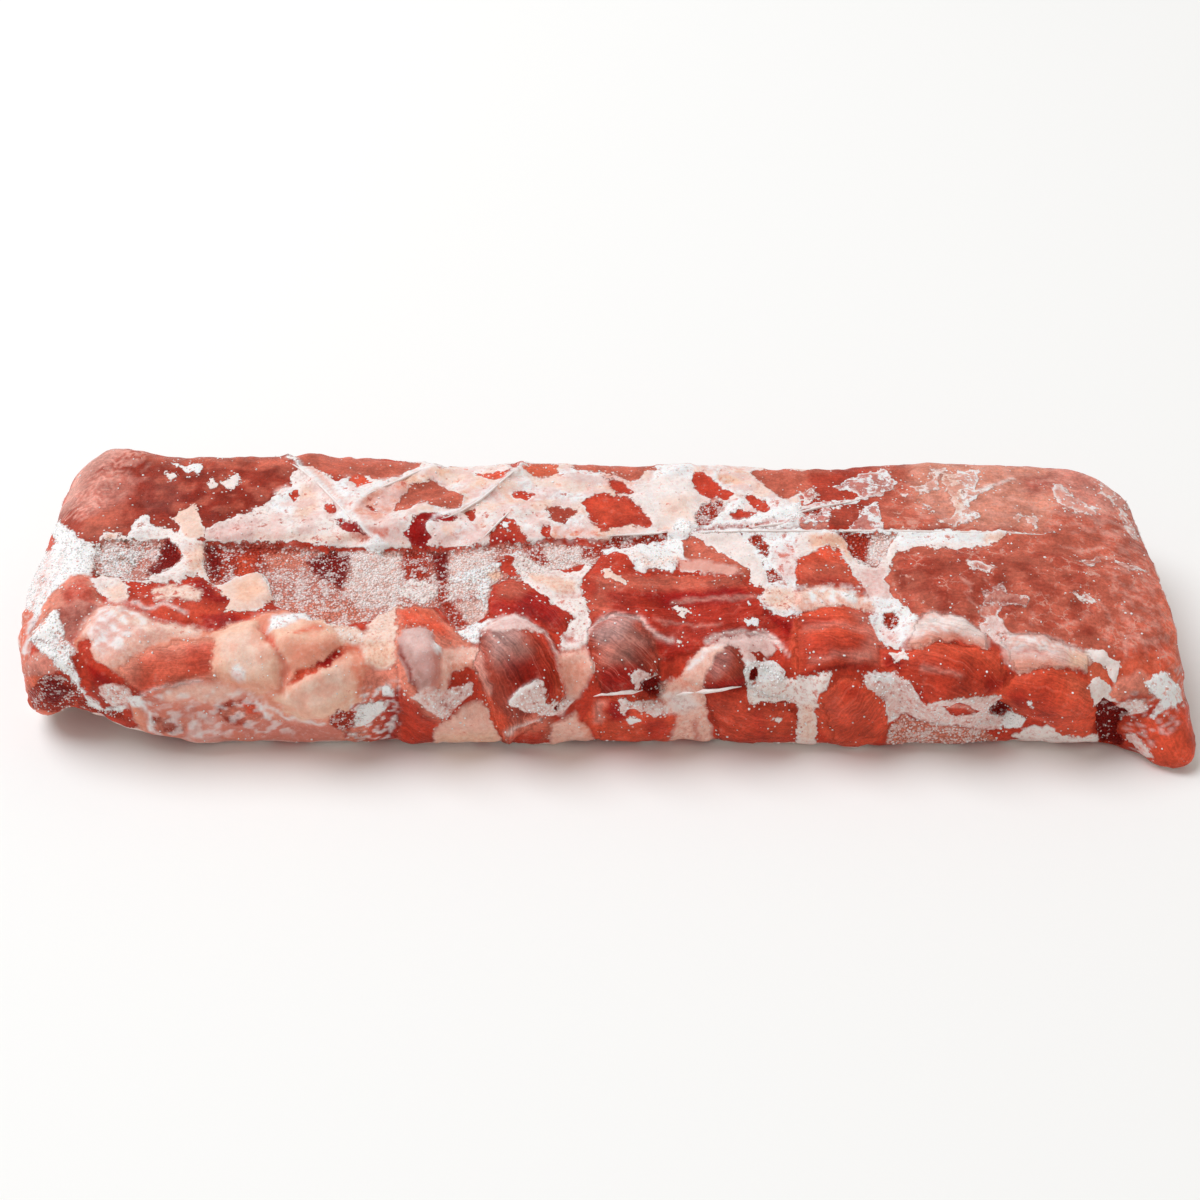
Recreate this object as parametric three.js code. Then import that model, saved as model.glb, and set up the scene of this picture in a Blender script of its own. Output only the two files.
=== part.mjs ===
// Frozen pork back ribs: one slab of a rib rack, frozen hard with its loin meat, fat and silver skin on it.
// Millimetres, +Z up. X runs along the rack, and Y from the cut rib ends at the front (-Y) to the back edge.
// The origin is the middle of the slab's box on its flat underside, which lies on the surface below.
import * as THREE from 'three';
import { mergeVertices } from 'three/addons/utils/BufferGeometryUtils.js';
import { ImprovedNoise } from 'three/addons/math/ImprovedNoise.js';

// Driving dimensions.
const LENGTH = 396;
const DEPTH = 116;
const THICKNESS = 44;
const RIB_PITCH = 35;
const FIRST_RIB_X = -161;
const RIB_COUNT = 10;

// Corner radii of the section, and of the two sawn ends.
const TOP_FRONT_RADIUS = 18;
const TOP_BACK_RADIUS = 12;
const BOTTOM_FRONT_RADIUS = 10;
const BOTTOM_BACK_RADIUS = 8;
const END_RADIUS = 15;

// The back edge of the lengthwise step on the top, where the silver skin stops.
const STEP_Y = 5;
const STEP_FROM_X = -140;
const STEP_TO_X = 172;

const { smoothstep, lerp } = THREE.MathUtils;

// 1 at the middle of a soft band from low to high, falling to 0 over `edge` millimetres past each side.
const band = (value, low, high, edge) =>
  smoothstep(value, low - edge, low + edge) * (1 - smoothstep(value, high - edge, high + edge));

// How far a place belongs to the top or to the front: 0 on the rounded edge between them, and 1 on the face.
const TOP_FACE_Z = [34, 42];
const FRONT_FACE_Y = [30, 50];
const onTop = (z) => smoothstep(z, ...TOP_FACE_Z);
const onFront = (y) => smoothstep(-y, ...FRONT_FACE_Y);

// The steps of a path: each run is [length in mm, number of steps], so a run can be finer than its neighbour.
function stations(runs) {
  const total = runs.reduce((sum, [length]) => sum + length, 0);
  const places = [0];
  let start = 0;
  for (const [length, steps] of runs) {
    for (let i = 1; i <= steps; i++) places.push((start + (length * i) / steps) / total);
    start += length;
  }
  return places;
}

// The section across the rack (Y, Z): a flat block with rounded edges, from the middle of the underside
// round the back, over the top and down the front. The top and the front have the finest steps.
function sectionPoints() {
  const half = DEPTH / 2;
  const quarter = Math.PI / 2;
  const [topFront, topBack, lowFront, lowBack] = [
    TOP_FRONT_RADIUS, TOP_BACK_RADIUS, BOTTOM_FRONT_RADIUS, BOTTOM_BACK_RADIUS,
  ];
  const path = new THREE.Path();
  path.moveTo(0, 0);
  path.lineTo(half - lowBack, 0);
  path.absarc(half - lowBack, lowBack, lowBack, -quarter, 0);
  path.lineTo(half, THICKNESS - topBack);
  path.absarc(half - topBack, THICKNESS - topBack, topBack, 0, quarter);
  path.lineTo(-half + topFront, THICKNESS);
  path.absarc(-half + topFront, THICKNESS - topFront, topFront, quarter, 2 * quarter);
  path.lineTo(-half, lowFront);
  path.absarc(-half + lowFront, lowFront, lowFront, 2 * quarter, 3 * quarter);
  path.lineTo(0, 0);

  const back = quarter * (lowBack + topBack) + THICKNESS - lowBack - topBack;
  const top = DEPTH - topBack - topFront;
  const front = quarter * (lowFront + topFront) + THICKNESS - lowFront - topFront;
  const runs = [[half - lowBack, 4], [back, 11], [top, 20], [front, 17], [half - lowFront, 4]];
  return stations(runs).map((u) => path.getPointAt(u));
}

// The profile along the rack (X, reach): reach is the half depth at that X, and it falls to 0 at each end.
function profilePoints() {
  const half = LENGTH / 2;
  const reach = DEPTH / 2;
  const quarter = Math.PI / 2;
  const path = new THREE.Path();
  path.moveTo(half, 0);
  path.lineTo(half, reach - END_RADIUS);
  path.absarc(half - END_RADIUS, reach - END_RADIUS, END_RADIUS, 0, quarter);
  path.lineTo(-half + END_RADIUS, reach);
  path.absarc(-half + END_RADIUS, reach - END_RADIUS, END_RADIUS, quarter, 2 * quarter);
  path.lineTo(-half, 0);
  const runs = [
    [reach - END_RADIUS, 5],
    [quarter * END_RADIUS, 4],
    [LENGTH - 2 * END_RADIUS, 84],
    [quarter * END_RADIUS, 4],
    [reach - END_RADIUS, 5],
  ];
  return stations(runs).map((u) => path.getPointAt(u));
}

// The plain block: a sphere's grid of rings, laid along the profile and round the section, and closed at both
// ends. Towards the ends its height falls off later than its depth, by this power, so that the ends stay upright.
const END_FALL = 0.65;

function plainBlock() {
  const section = sectionPoints();
  const profile = profilePoints();
  const columns = section.length - 1;
  const rows = profile.length - 1;
  const grid = new THREE.SphereGeometry(1, columns, rows);
  const position = grid.getAttribute('position');
  const middle = THICKNESS / 2;
  profile.forEach(({ x, y: reach }, row) => {
    const share = reach / (DEPTH / 2);
    const heightShare = 1 - Math.pow(1 - share, END_FALL);
    section.forEach(({ x: across, y: up }, column) => {
      const y = across * share;
      const z = middle + (up - middle) * heightShare;
      position.setXYZ(row * (columns + 1) + column, x, y, z);
    });
  });
  grid.deleteAttribute('normal');
  grid.deleteAttribute('uv');
  return mergeVertices(grid, 1e-3);
}

// Soft lumps and hollows of the meat, fat and bone. `rise` lifts the skin along its normal, and a hollow has
// a negative rise. `at` is the middle and `size` the reach along X, Y and Z.
const LUMPS = {
  loinEye: { at: [144, -22, 44], size: [38, 22, 30], rise: 2.5 },
  leftLoin: { at: [-150, 34, 44], size: [32, 18, 30], rise: 1.5 },
  farLeftCorner: { at: [-182, 56, 44], size: [16, 16, 20], rise: 5 },
  fatKnob: { at: [-116, -52, 38], size: [12, 13, 13], rise: 3.5 },
  fatShoulder: { at: [-97, -48, 43], size: [13, 8, 12], rise: 3 },
  fatFlap: { at: [-91, -57, 27], size: [16, 12, 9], rise: 4 },
  pinkMuscle: { at: [-145, -54, 34], size: [18, 14, 9], rise: 3.5 },
  shoulderFat: { at: [-150, -40, 43], size: [20, 8, 12], rise: 2 },
  muscleStrip: { at: [-142, -30, 44], size: [18, 5, 12], rise: 2.5 },
  lowerFat: { at: [-136, -57, 13], size: [20, 12, 7], rise: 2.5 },
  boneKnob: { at: [-176, -22, 44], size: [7, 7, 12], rise: 3 },
  leftLobe: { at: [-188, -48, 14], size: [9, 14, 12], rise: 2.5 },
  leftMarrow: { at: [-160, -3, 44], size: [14, 7, 12], rise: -4 },
  sawnSpur: { at: [96, -1, 44], size: [8, 8, 12], rise: -3 },
  backMarrow: { at: [38, 22, 44], size: [9, 5, 12], rise: -2 },
  boneEnd1: { at: [20, -57, 28], size: [5, 9, 5], rise: -4.5 },
  boneEnd2: { at: [53, -57, 32], size: [5, 9, 5], rise: -4.5 },
  boneEnd3: { at: [136, -57, 17], size: [5, 9, 5], rise: -4.5 },
  boneEnd4: { at: [101, -37, 42], size: [4.5, 5, 9], rise: -2.5 },
  rightNotch: { at: [174, -57, 14], size: [7, 14, 15], rise: -6 },
  frontFoot: { at: [92, -57, 5], size: [30, 12, 8], rise: 2.5 },
};

function lumpRelief(x, y, z) {
  let rise = 0;
  for (const { at, size, rise: height } of Object.values(LUMPS)) {
    const away = ((x - at[0]) / size[0]) ** 2 + ((y - at[1]) / size[1]) ** 2 + ((z - at[2]) / size[2]) ** 2;
    if (away < 9) rise += height * Math.exp(-away);
  }
  return rise;
}

// The rib ends: a row of rounded knuckles down the front, which lean to the right as they go down, with a
// valley of fat between each two. Behind each one its rib lifts the top a little as far as the step.
const KNUCKLE_RISE = [1, 1.5, 2, 5.5, 6, 6, 5.5, 5, 4.5, 4.5];
const KNUCKLE = { height: 31, halfWidth: 11, reachDown: 15, lean: 0.45 };
const VALLEYS = { depth: 2.5, startX: [-110, -60], endX: [120, 150] };
const RIB_TOPS = { rise: 1.2, frontY: -38, backY: STEP_Y - 6, edge: 5, startX: [-60, -35] };

function ribRelief(x, y, z) {
  const front = onFront(y);
  const onRibTops = band(y, RIB_TOPS.frontY, RIB_TOPS.backY, RIB_TOPS.edge) * smoothstep(x, ...RIB_TOPS.startX);
  const top = onTop(z) * onRibTops;
  const leanedX = x + (z - KNUCKLE.height) * KNUCKLE.lean;
  let rise = 0;
  for (let rib = 0; rib < RIB_COUNT; rib++) {
    const ribX = FIRST_RIB_X + rib * RIB_PITCH;
    const beside = Math.exp(-(((leanedX - ribX) / KNUCKLE.halfWidth) ** 2));
    const upDown = Math.exp(-(((z - KNUCKLE.height) / KNUCKLE.reachDown) ** 2));
    rise += front * KNUCKLE_RISE[rib] * beside * upDown;
    const gap = Math.exp(-(((leanedX - ribX - RIB_PITCH / 2) / (KNUCKLE.halfWidth / 2)) ** 2));
    const hasValley = smoothstep(ribX, ...VALLEYS.startX) * (1 - smoothstep(ribX, ...VALLEYS.endX));
    rise -= front * VALLEYS.depth * gap * upDown * hasValley;
    rise += top * RIB_TOPS.rise * Math.exp(-(((x - ribX) / KNUCKLE.halfWidth) ** 2));
  }
  return rise;
}

// The lengthwise step on the top: the back half stands a little proud of the front half. In front of its left
// part the backbone was sawn off, which leaves a shallow bed of open marrow that widens to the right.
const STEP = { rise: 1.6, halfWidth: 2, fallsOver: 40, endEdge: 8 };
const CHINE_BED = { fromX: -137, toX: -46, depth: 2.6, frontLeftY: -18, frontRightY: -38, widensOver: 50 };
const BED_EDGE_X = 4;
const BED_EDGE_Y = 3;

function stepRelief(x, y, z) {
  const stepUp = smoothstep(y, STEP_Y - STEP.halfWidth, STEP_Y + STEP.halfWidth);
  const behind = stepUp * (1 - smoothstep(y, STEP_Y, STEP_Y + STEP.fallsOver));
  const { fromX, toX, depth, frontLeftY, frontRightY, widensOver } = CHINE_BED;
  const frontY = lerp(frontLeftY, frontRightY, smoothstep(x, fromX, fromX + widensOver));
  const inBed = band(x, fromX, toX, BED_EDGE_X) * band(y, frontY, STEP_Y, BED_EDGE_Y);
  return onTop(z) * (STEP.rise * behind * band(x, STEP_FROM_X, STEP_TO_X, STEP.endEdge) - depth * inBed);
}

// Taut folds of the silver skin behind the step, each a low ridge from one point of the top to another.
const FOLDS = [
  { from: [-106, 50], to: [-75, 4], rise: 2.5, halfWidth: 5.5 },
  { from: [-56, 44], to: [-82, 24], rise: 2.5, halfWidth: 5 },
  { from: [-27, 46], to: [-66, 12], rise: 3, halfWidth: 5.5 },
];

function foldRelief(x, y, z) {
  const point = new THREE.Vector3(x, y, 0);
  const nearest = new THREE.Vector3();
  let rise = 0;
  for (const fold of FOLDS) {
    const line = new THREE.Line3(new THREE.Vector3(...fold.from, 0), new THREE.Vector3(...fold.to, 0));
    line.closestPointToPoint(point, true, nearest);
    rise += fold.rise * Math.exp(-((nearest.distanceTo(point) / fold.halfWidth) ** 2));
  }
  return rise * onTop(z);
}

// The uneven, craggy skin of frozen meat: two sizes of smooth noise. The noise is 0 on the planes through its
// origin, so the slab sits a little away from them.
const noise = new ImprovedNoise();
const NOISE_START = { y: 7.3, z: 2.1 };
const CRAGS = [
  { wave: 46, rise: 1.6 },
  { wave: 15, rise: 0.9 },
];

function cragRelief(x, y, z) {
  let sum = 0;
  for (const { wave, rise } of CRAGS) {
    sum += rise * noise.noise(x / wave, y / wave + NOISE_START.y, z / wave + NOISE_START.z);
  }
  return sum;
}

// The slab's uneven outline: the wider left half, the rounded far right corner, the sloping top, the lifted
// front left corner with its small hanging lobe, and the tail of meat that hangs out at the front right.
const TAIL = { at: [190, -57, 6], size: [17, 16, 16], push: [9, -14, -3] };
const RIGHT_END = { startX: 120, slopesDown: 3.5, backCornerX: 172, backSetIn: 8 };
const RIGHT_LONGER = { by: 5, startX: 100, endX: 190 };
const LEFT_END = { startX: 150, longer: 1.5, backLonger: 1.5, frontTopLonger: 3 };
const BACK_EDGE = { startY: -12, leftWider: 6, leftX: [50, 85] };
const BACK_BULGE = { by: 3, fromX: 105, toX: 240, edge: 15 };
const BACK_DENT = { by: 2, fromX: 50, toX: 85, edge: 18 };
const FRONT_SLOPE = { startY: 10, endY: 50, by: 4 };
const FRONT_LEFT = { lift: 9, liftX: [130, 176], setBack: 9, setBackX: [150, 185], lobeX: [180, 194] };

function bend(point) {
  const { x, y, z } = point;
  const rightEnd = smoothstep(x, RIGHT_END.startX, LENGTH / 2);
  const leftEnd = smoothstep(-x, LEFT_END.startX, LENGTH / 2);
  const toBack = smoothstep(y, BACK_EDGE.startY, DEPTH / 2);
  const toFront = smoothstep(-y, FRONT_SLOPE.startY, FRONT_SLOPE.endY);
  const up = z / THICKNESS;
  const under = 1 - up;

  point.x += RIGHT_LONGER.by * smoothstep(x, RIGHT_LONGER.startX, RIGHT_LONGER.endX);
  const { longer, backLonger, frontTopLonger } = LEFT_END;
  point.x += leftEnd * (backLonger * toBack + frontTopLonger * toFront * up + longer);
  const wider = BACK_EDGE.leftWider * smoothstep(-x, ...BACK_EDGE.leftX);
  const bulge = BACK_BULGE.by * band(x, BACK_BULGE.fromX, BACK_BULGE.toX, BACK_BULGE.edge);
  const dent = BACK_DENT.by * band(x, BACK_DENT.fromX, BACK_DENT.toX, BACK_DENT.edge);
  point.y += toBack * (wider + bulge - dent);
  point.y -= RIGHT_END.backSetIn * toBack * smoothstep(x, RIGHT_END.backCornerX, LENGTH / 2);
  point.z -= up * (FRONT_SLOPE.by * toFront + RIGHT_END.slopesDown * rightEnd);

  const besideLobe = 1 - smoothstep(-x, ...FRONT_LEFT.lobeX);
  point.z += FRONT_LEFT.lift * under * toFront * smoothstep(-x, ...FRONT_LEFT.liftX) * besideLobe;
  point.y += FRONT_LEFT.setBack * under * toFront * smoothstep(-x, ...FRONT_LEFT.setBackX);

  const away = new THREE.Vector3(x, y, z).sub(new THREE.Vector3(...TAIL.at));
  away.divide(new THREE.Vector3(...TAIL.size));
  point.addScaledVector(new THREE.Vector3(...TAIL.push), Math.exp(-away.lengthSq()));
}

// The slab: the plain block, raised and hollowed along its normals, bent to its outline, and flat underneath.
const UNDERSIDE_CRAG_FROM_Z = 3;

function ribSlabGeometry() {
  const block = plainBlock();
  block.computeVertexNormals();
  const position = block.getAttribute('position');
  const normals = block.getAttribute('normal');
  const point = new THREE.Vector3();
  const normal = new THREE.Vector3();
  for (let i = 0; i < position.count; i++) {
    point.fromBufferAttribute(position, i);
    normal.fromBufferAttribute(normals, i);
    const { x, y, z } = point;
    const clearOfUnderside = smoothstep(z, 0, UNDERSIDE_CRAG_FROM_Z);
    const rise = lumpRelief(x, y, z) + ribRelief(x, y, z) + stepRelief(x, y, z) + foldRelief(x, y, z)
      + cragRelief(x, y, z);
    bend(point);
    point.addScaledVector(normal, rise * clearOfUnderside);
    position.setXYZ(i, point.x, point.y, Math.max(point.z, 0));
  }
  block.deleteAttribute('normal');
  block.computeBoundingBox();
  const centre = block.boundingBox.getCenter(new THREE.Vector3());
  block.translate(-centre.x, -centre.y, -block.boundingBox.min.z);
  block.computeVertexNormals();
  return block;
}

// Raw pork, frozen: dull red lean under a thin bloom of frost.
const frozenPork = new THREE.MeshStandardMaterial({ color: '#b85c4c', roughness: 0.55, metalness: 0 });

const ribs = new THREE.Group();
const slab = new THREE.Mesh(ribSlabGeometry(), frozenPork);
slab.name = 'rib_slab';
ribs.add(slab);

export default ribs;
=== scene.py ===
"""A frozen slab of pork back ribs, as photographed: lean, silver skin, fat, sawn bone and frost."""

import math

import bmesh
import bpy
import numpy as np
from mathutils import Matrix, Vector
from mathutils.bvhtree import BVHTree


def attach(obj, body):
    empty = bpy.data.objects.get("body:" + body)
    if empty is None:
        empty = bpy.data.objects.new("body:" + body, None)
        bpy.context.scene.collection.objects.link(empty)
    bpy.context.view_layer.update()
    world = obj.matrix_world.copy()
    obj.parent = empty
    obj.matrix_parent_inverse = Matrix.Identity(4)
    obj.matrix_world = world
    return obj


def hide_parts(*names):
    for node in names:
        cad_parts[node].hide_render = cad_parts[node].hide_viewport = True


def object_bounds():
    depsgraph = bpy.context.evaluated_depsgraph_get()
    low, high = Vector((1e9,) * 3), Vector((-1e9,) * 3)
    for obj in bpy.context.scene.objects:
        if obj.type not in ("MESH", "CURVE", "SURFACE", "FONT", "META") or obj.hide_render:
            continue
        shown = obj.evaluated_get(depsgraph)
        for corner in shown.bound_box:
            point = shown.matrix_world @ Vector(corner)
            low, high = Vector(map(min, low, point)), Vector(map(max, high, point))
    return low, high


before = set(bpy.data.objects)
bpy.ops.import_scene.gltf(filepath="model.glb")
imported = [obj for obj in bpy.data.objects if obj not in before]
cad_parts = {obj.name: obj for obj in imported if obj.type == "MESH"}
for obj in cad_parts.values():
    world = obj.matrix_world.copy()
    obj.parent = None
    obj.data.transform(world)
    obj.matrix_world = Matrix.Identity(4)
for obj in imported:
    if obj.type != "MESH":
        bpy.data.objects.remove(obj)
cad_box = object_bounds()


# ---- Camera ------------------------------------------------------------------
# The slab was photographed from in front and above, with its long side square to the lens.
# The outlines further down are drawn on that photograph, so the camera comes first and also says where a
# point of the slab is seen in it.

PHOTO_SIDE = 1200
ELEVATION = math.radians(39)
DISTANCE = 0.670
AIM = np.array([-0.001, 0.0015, 0.020])
LENS = 55.5
SENSOR = 36.0

forward = np.array([0, math.cos(ELEVATION), -math.sin(ELEVATION)])
upward = np.array([0, math.sin(ELEVATION), math.cos(ELEVATION)])
eye = AIM - DISTANCE * forward
pixels_per_mm = PHOTO_SIDE * LENS / SENSOR / (DISTANCE * 1000)

camera = bpy.data.objects.new("camera", bpy.data.cameras.new("camera"))
camera.data.lens = LENS
camera.data.sensor_width = SENSOR
camera.location = eye
camera.rotation_euler = (math.pi / 2 - ELEVATION, 0, 0)
bpy.context.scene.collection.objects.link(camera)
bpy.context.scene.camera = camera


def seen_at(points):
    """The pixels of the photograph where points of the slab are seen."""
    away = points - eye
    depth = away @ forward
    scale = PHOTO_SIDE * LENS / SENSOR / depth
    half = PHOTO_SIDE / 2
    return np.stack([half + away[:, 0] * scale, half - (away @ upward) * scale], axis=1)


# ---- Rib slab ----------------------------------------------------------------
# The real piece is a strip of back ribs: rib bones with lean between and over them, fat along the chine side,
# and a silvery skin over the top that has torn open in places. It is frozen solid and lies on its flat side.
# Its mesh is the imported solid, made finer, with the low forms of muscle, fat and torn edges pressed in.

MM = 0.001
FINER = 2

bm = bmesh.new()
bm.from_mesh(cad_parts["rib_slab"].data)
bmesh.ops.remove_doubles(bm, verts=bm.verts, dist=0.01 * MM)
bmesh.ops.join_triangles(
    bm, faces=bm.faces, angle_face_threshold=0.7, angle_shape_threshold=0.9,
    cmp_seam=False, cmp_sharp=False, cmp_uvs=False, cmp_vcols=False, cmp_materials=False,
)
slab_mesh = bpy.data.meshes.new("rib_slab_meat")
bm.to_mesh(slab_mesh)
bm.free()
slab = bpy.data.objects.new("rib_slab_meat", slab_mesh)
bpy.context.scene.collection.objects.link(slab)
finer = slab.modifiers.new("finer", "SUBSURF")
finer.levels = finer.render_levels = FINER
smooth_mesh = bpy.data.meshes.new_from_object(slab.evaluated_get(bpy.context.evaluated_depsgraph_get()))
slab.modifiers.clear()
slab.data = smooth_mesh
slab_mesh = smooth_mesh
slab_mesh.name = "rib_slab_meat"

count = len(slab_mesh.vertices)
place = np.empty(count * 3)
slab_mesh.vertices.foreach_get("co", place)
place = place.reshape(-1, 3)
normal = np.empty(count * 3)
slab_mesh.vertices.foreach_get("normal", normal)
normal = normal.reshape(-1, 3)


def steps(value, start, end):
    """0 below start and 1 above end, with a soft rise between."""
    t = np.clip((value - start) / (end - start), 0, 1)
    return t * t * (3 - 2 * t)


def wander(points, size, seed):
    """Smooth random waves about as long as size, in mm. The result is mostly between -1 and 1."""
    waves = 16
    rng = np.random.default_rng(seed)
    heading = rng.normal(size=(waves, 3))
    heading /= np.linalg.norm(heading, axis=1)[:, None]
    length = size * MM * rng.uniform(0.6, 1.5, waves)
    start = rng.uniform(0, 2 * math.pi, waves)
    return np.sin(points @ (heading / length[:, None]).T * 2 * math.pi + start).sum(1) / math.sqrt(waves / 2)


to_eye = eye - place
to_eye /= np.linalg.norm(to_eye, axis=1)[:, None]
facing = (normal * to_eye).sum(1)
shown = steps(facing, 0.0, 0.16)
spot = seen_at(place)
TORN_SIZE = 5.0
TORN_BY = 0.8
spot[:, 0] += TORN_BY * wander(place, TORN_SIZE, 11)
spot[:, 1] += TORN_BY * wander(place, TORN_SIZE, 12)

REACH = 8.0


def depth_inside(outline):
    """How far each point lies inside an outline on the photograph, in mm, and below 0 outside it."""
    corners = np.array(outline, float)
    reach = REACH * pixels_per_mm
    near = (shown > 0) & (spot > corners.min(0) - reach).all(1) & (spot < corners.max(0) + reach).all(1)
    points = spot[near]
    distance = np.full(len(points), np.inf)
    inside = np.zeros(len(points), bool)
    for a, b in zip(corners, np.roll(corners, -1, 0)):
        edge = b - a
        along = np.clip((points - a) @ edge / (edge @ edge), 0, 1)
        distance = np.minimum(distance, np.linalg.norm(points - a - along[:, None] * edge, axis=1))
        if a[1] != b[1]:
            between = (a[1] > points[:, 1]) != (b[1] > points[:, 1])
            inside ^= between & (points[:, 0] < a[0] + (points[:, 1] - a[1]) * edge[0] / edge[1])
    depth = np.full(count, -REACH)
    depth[near] = np.clip(np.where(inside, distance, -distance) / pixels_per_mm, -REACH, REACH)
    return depth


def distance_from(line):
    """How far each point lies from a line drawn on the photograph, in mm."""
    corners = np.array(line, float)
    reach = REACH * pixels_per_mm
    near = (shown > 0) & (spot > corners.min(0) - reach).all(1) & (spot < corners.max(0) + reach).all(1)
    points = spot[near]
    distance = np.full(len(points), np.inf)
    for a, b in zip(corners[:-1], corners[1:]):
        edge = b - a
        along = np.clip((points - a) @ edge / (edge @ edge), 0, 1)
        distance = np.minimum(distance, np.linalg.norm(points - a - along[:, None] * edge, axis=1))
    away = np.full(count, REACH)
    away[near] = np.clip(distance / pixels_per_mm, 0, REACH)
    return away


def linear(colour):
    """An sRGB hex colour as linear red, green and blue."""
    parts = np.array([int(colour[i : i + 2], 16) / 255 for i in (1, 3, 5)])
    return np.where(parts <= 0.04045, parts / 12.92, ((parts + 0.055) / 1.055) ** 2.4)


# The colours of frozen pork: lean from deep red to dried brown, skin and fat from white to peach, and bone.
# Some of these colours are also used below for painted sheen, highlights and shade.
DEEP = "#961f12"
RED = "#b23d2d"
SCARLET = "#cb5039"
ORANGE = "#d4654b"
BRICK = "#9d4234"
MAROON = "#80281b"
DUSK = "#a85a4e"
ROSE = "#c87c6e"
BLUSH = "#d59a8d"
LOIN = "#b95f4d"
LOIN_PALE = "#c9826f"
SNOW = "#f6f1ef"
FILM = "#ecd6d1"
LILAC = "#dbb9b3"
PEARL = "#bd918b"
SLATE = "#a2786f"
CREAM = "#edc3b4"
TALLOW = "#e5b3a3"
VEIL = "#e0b5ab"
PEACH = "#efb7a0"
SALMON = "#dc9079"
CORAL = "#d07c69"
MARROW = "#7c2013"
CLOT = "#a83a2b"
PULP = "#c67d70"
RIME = "#dcb0a5"
GREEN_BLACK = "#4a3a2a"

SHEEN = 0.011
LAMP_SHARE = 1.22

# What is painted at each point: how far inside skin or fat it is, in mm, how far inside sawn bone, the
# colours of lean, of skin and fat, and of bone, and how frosty, fibrous, marbled, soft and thin it is.
pale_depth = np.full(count, -REACH)
bed_depth = np.full(count, -REACH)
frost = np.zeros(count)
lean_tone = np.zeros((count, 3))
pale_tone = np.zeros((count, 3))
bed_tone = np.zeros((count, 3))
lift = np.zeros(count)
fibre_path = np.zeros((count, 3))
fibre = np.full(count, 0.4)
marbling = np.zeros(count)
softness = np.full(count, 0.12)
thinness = np.full(count, 0.15)
EDGE_ROOM = 1.2


def tone(colour):
    """A colour as it is under the sheen of the ice, which adds a little white to everything."""
    return np.clip(linear(colour) * LAMP_SHARE - SHEEN, 0.004, 0.93)


def shade(tones, colour, part):
    """Mixes a colour into what is painted so far."""
    tones += part[:, None] * (tone(colour) - tones)


def swell(depth, rise, rounding):
    """Raises what lies inside an outline by rise mm, like a cushion whose edge is rounded over so many mm."""
    inward = np.clip(depth / rounding, 0, 1)
    lift[:] += rise * np.sqrt(1 - (1 - inward) ** 2)


def settle(depth, crystals, soft, thin=None):
    """Keeps how frosty a place is, how soft its edge, and how thin its skin."""
    near_edge = steps(depth, -2.0 * soft - 0.6, -soft)
    softness[:] += near_edge * (soft - softness)
    frost[:] += steps(depth, -0.3, 0.3) * (crystals - frost)
    if thin is not None:
        thinness[:] += steps(depth, -0.6, 0.6) * (thin - thinness)
        fibre[:] *= 1 - steps(depth, -0.6, 0.6)


def tint(colour, outline, soft=2.0, strength=1.0):
    """Lean of another colour, with no edge. Some strokes use it to paint shade, sheen or a highlight on the
    lean.
    """
    shade(lean_tone, colour, strength * steps(depth_inside(outline), -soft, soft))


def bare(colour, outline, rise=0.0, rounding=4.0, crystals=0.1, soft=0.15):
    """Lean that shows through a tear in the skin, or between pieces of fat."""
    depth = depth_inside(outline)
    shade(lean_tone, colour, steps(depth, -EDGE_ROOM, 0.3))
    np.minimum(pale_depth, -depth, out=pale_depth)
    np.minimum(bed_depth, -depth, out=bed_depth)
    settle(depth, crystals, soft)
    swell(depth, rise, rounding)


def cover(colour, outline, rise=0.3, rounding=0.8, crystals=0.1, soft=0.15, thin=0.15):
    """Skin, fat or frost that lies over the lean."""
    depth = depth_inside(outline)
    shade(pale_tone, colour, steps(depth, -EDGE_ROOM, 0.3))
    np.maximum(pale_depth, depth, out=pale_depth)
    settle(depth, crystals, soft, thin)
    swell(depth, rise, rounding)


def fat(colour, outline, rise=0.3, rounding=3.0, soft=0.9, crystals=0.05):
    """A smooth waxy lump or seam of fat, which blends into the lean beside it."""
    cover(colour, outline, rise, rounding, crystals, soft, 0.0)


def wash(colour, outline, soft=1.6, strength=1.0):
    """Skin or fat of another colour, with no edge. Some strokes use it to paint shade or a highlight on skin
    or fat.
    """
    shade(pale_tone, colour, strength * steps(depth_inside(outline), -soft, soft))


def sawn(colour, outline, rise=-0.6, rounding=2.0, crystals=0.3, soft=0.25):
    """The crumbly red inside of a sawn bone, or coagulated blood with ice in it."""
    depth = depth_inside(outline)
    shade(bed_tone, colour, steps(depth, -EDGE_ROOM, 0.3))
    np.maximum(bed_depth, depth, out=bed_depth)
    np.minimum(pale_depth, -depth, out=pale_depth)
    settle(depth, crystals, soft)
    swell(depth, rise, rounding)


def steep(colour, outline, soft=1.2, crystals=None):
    """Sawn bone of another colour, with no edge."""
    wet = steps(depth_inside(outline), -soft, soft)
    shade(bed_tone, colour, wet)
    if crystals is not None:
        frost[:] += wet * (crystals - frost)


def run_fibres(centre, outline, amount=1.0, soft=0.5):
    """Meat fibres that run in arcs round a centre."""
    inside = depth_inside(outline) > -soft
    arm = (spot[inside] - centre) / pixels_per_mm
    radius = np.linalg.norm(arm, axis=1)
    angle = np.arctan2(arm[:, 1], arm[:, 0])
    fibre_path[inside] = np.stack([angle * np.median(radius), radius, radius * 0], axis=1)
    fibre[inside] = amount


def ridge(line, rise, half_width):
    """A raised fold along a line, or a groove where the rise is below 0, in mm."""
    lift[:] += rise * np.exp(-((distance_from(line) / half_width) ** 2))


def streak(colour, line, half_width=0.7, strength=0.8):
    """A thin line of another colour on whatever is there. One stroke uses it to paint a shadow line."""
    part = strength * np.exp(-((distance_from(line) / half_width) ** 2))
    shade(lean_tone, colour, part)
    shade(pale_tone, colour, part)


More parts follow.
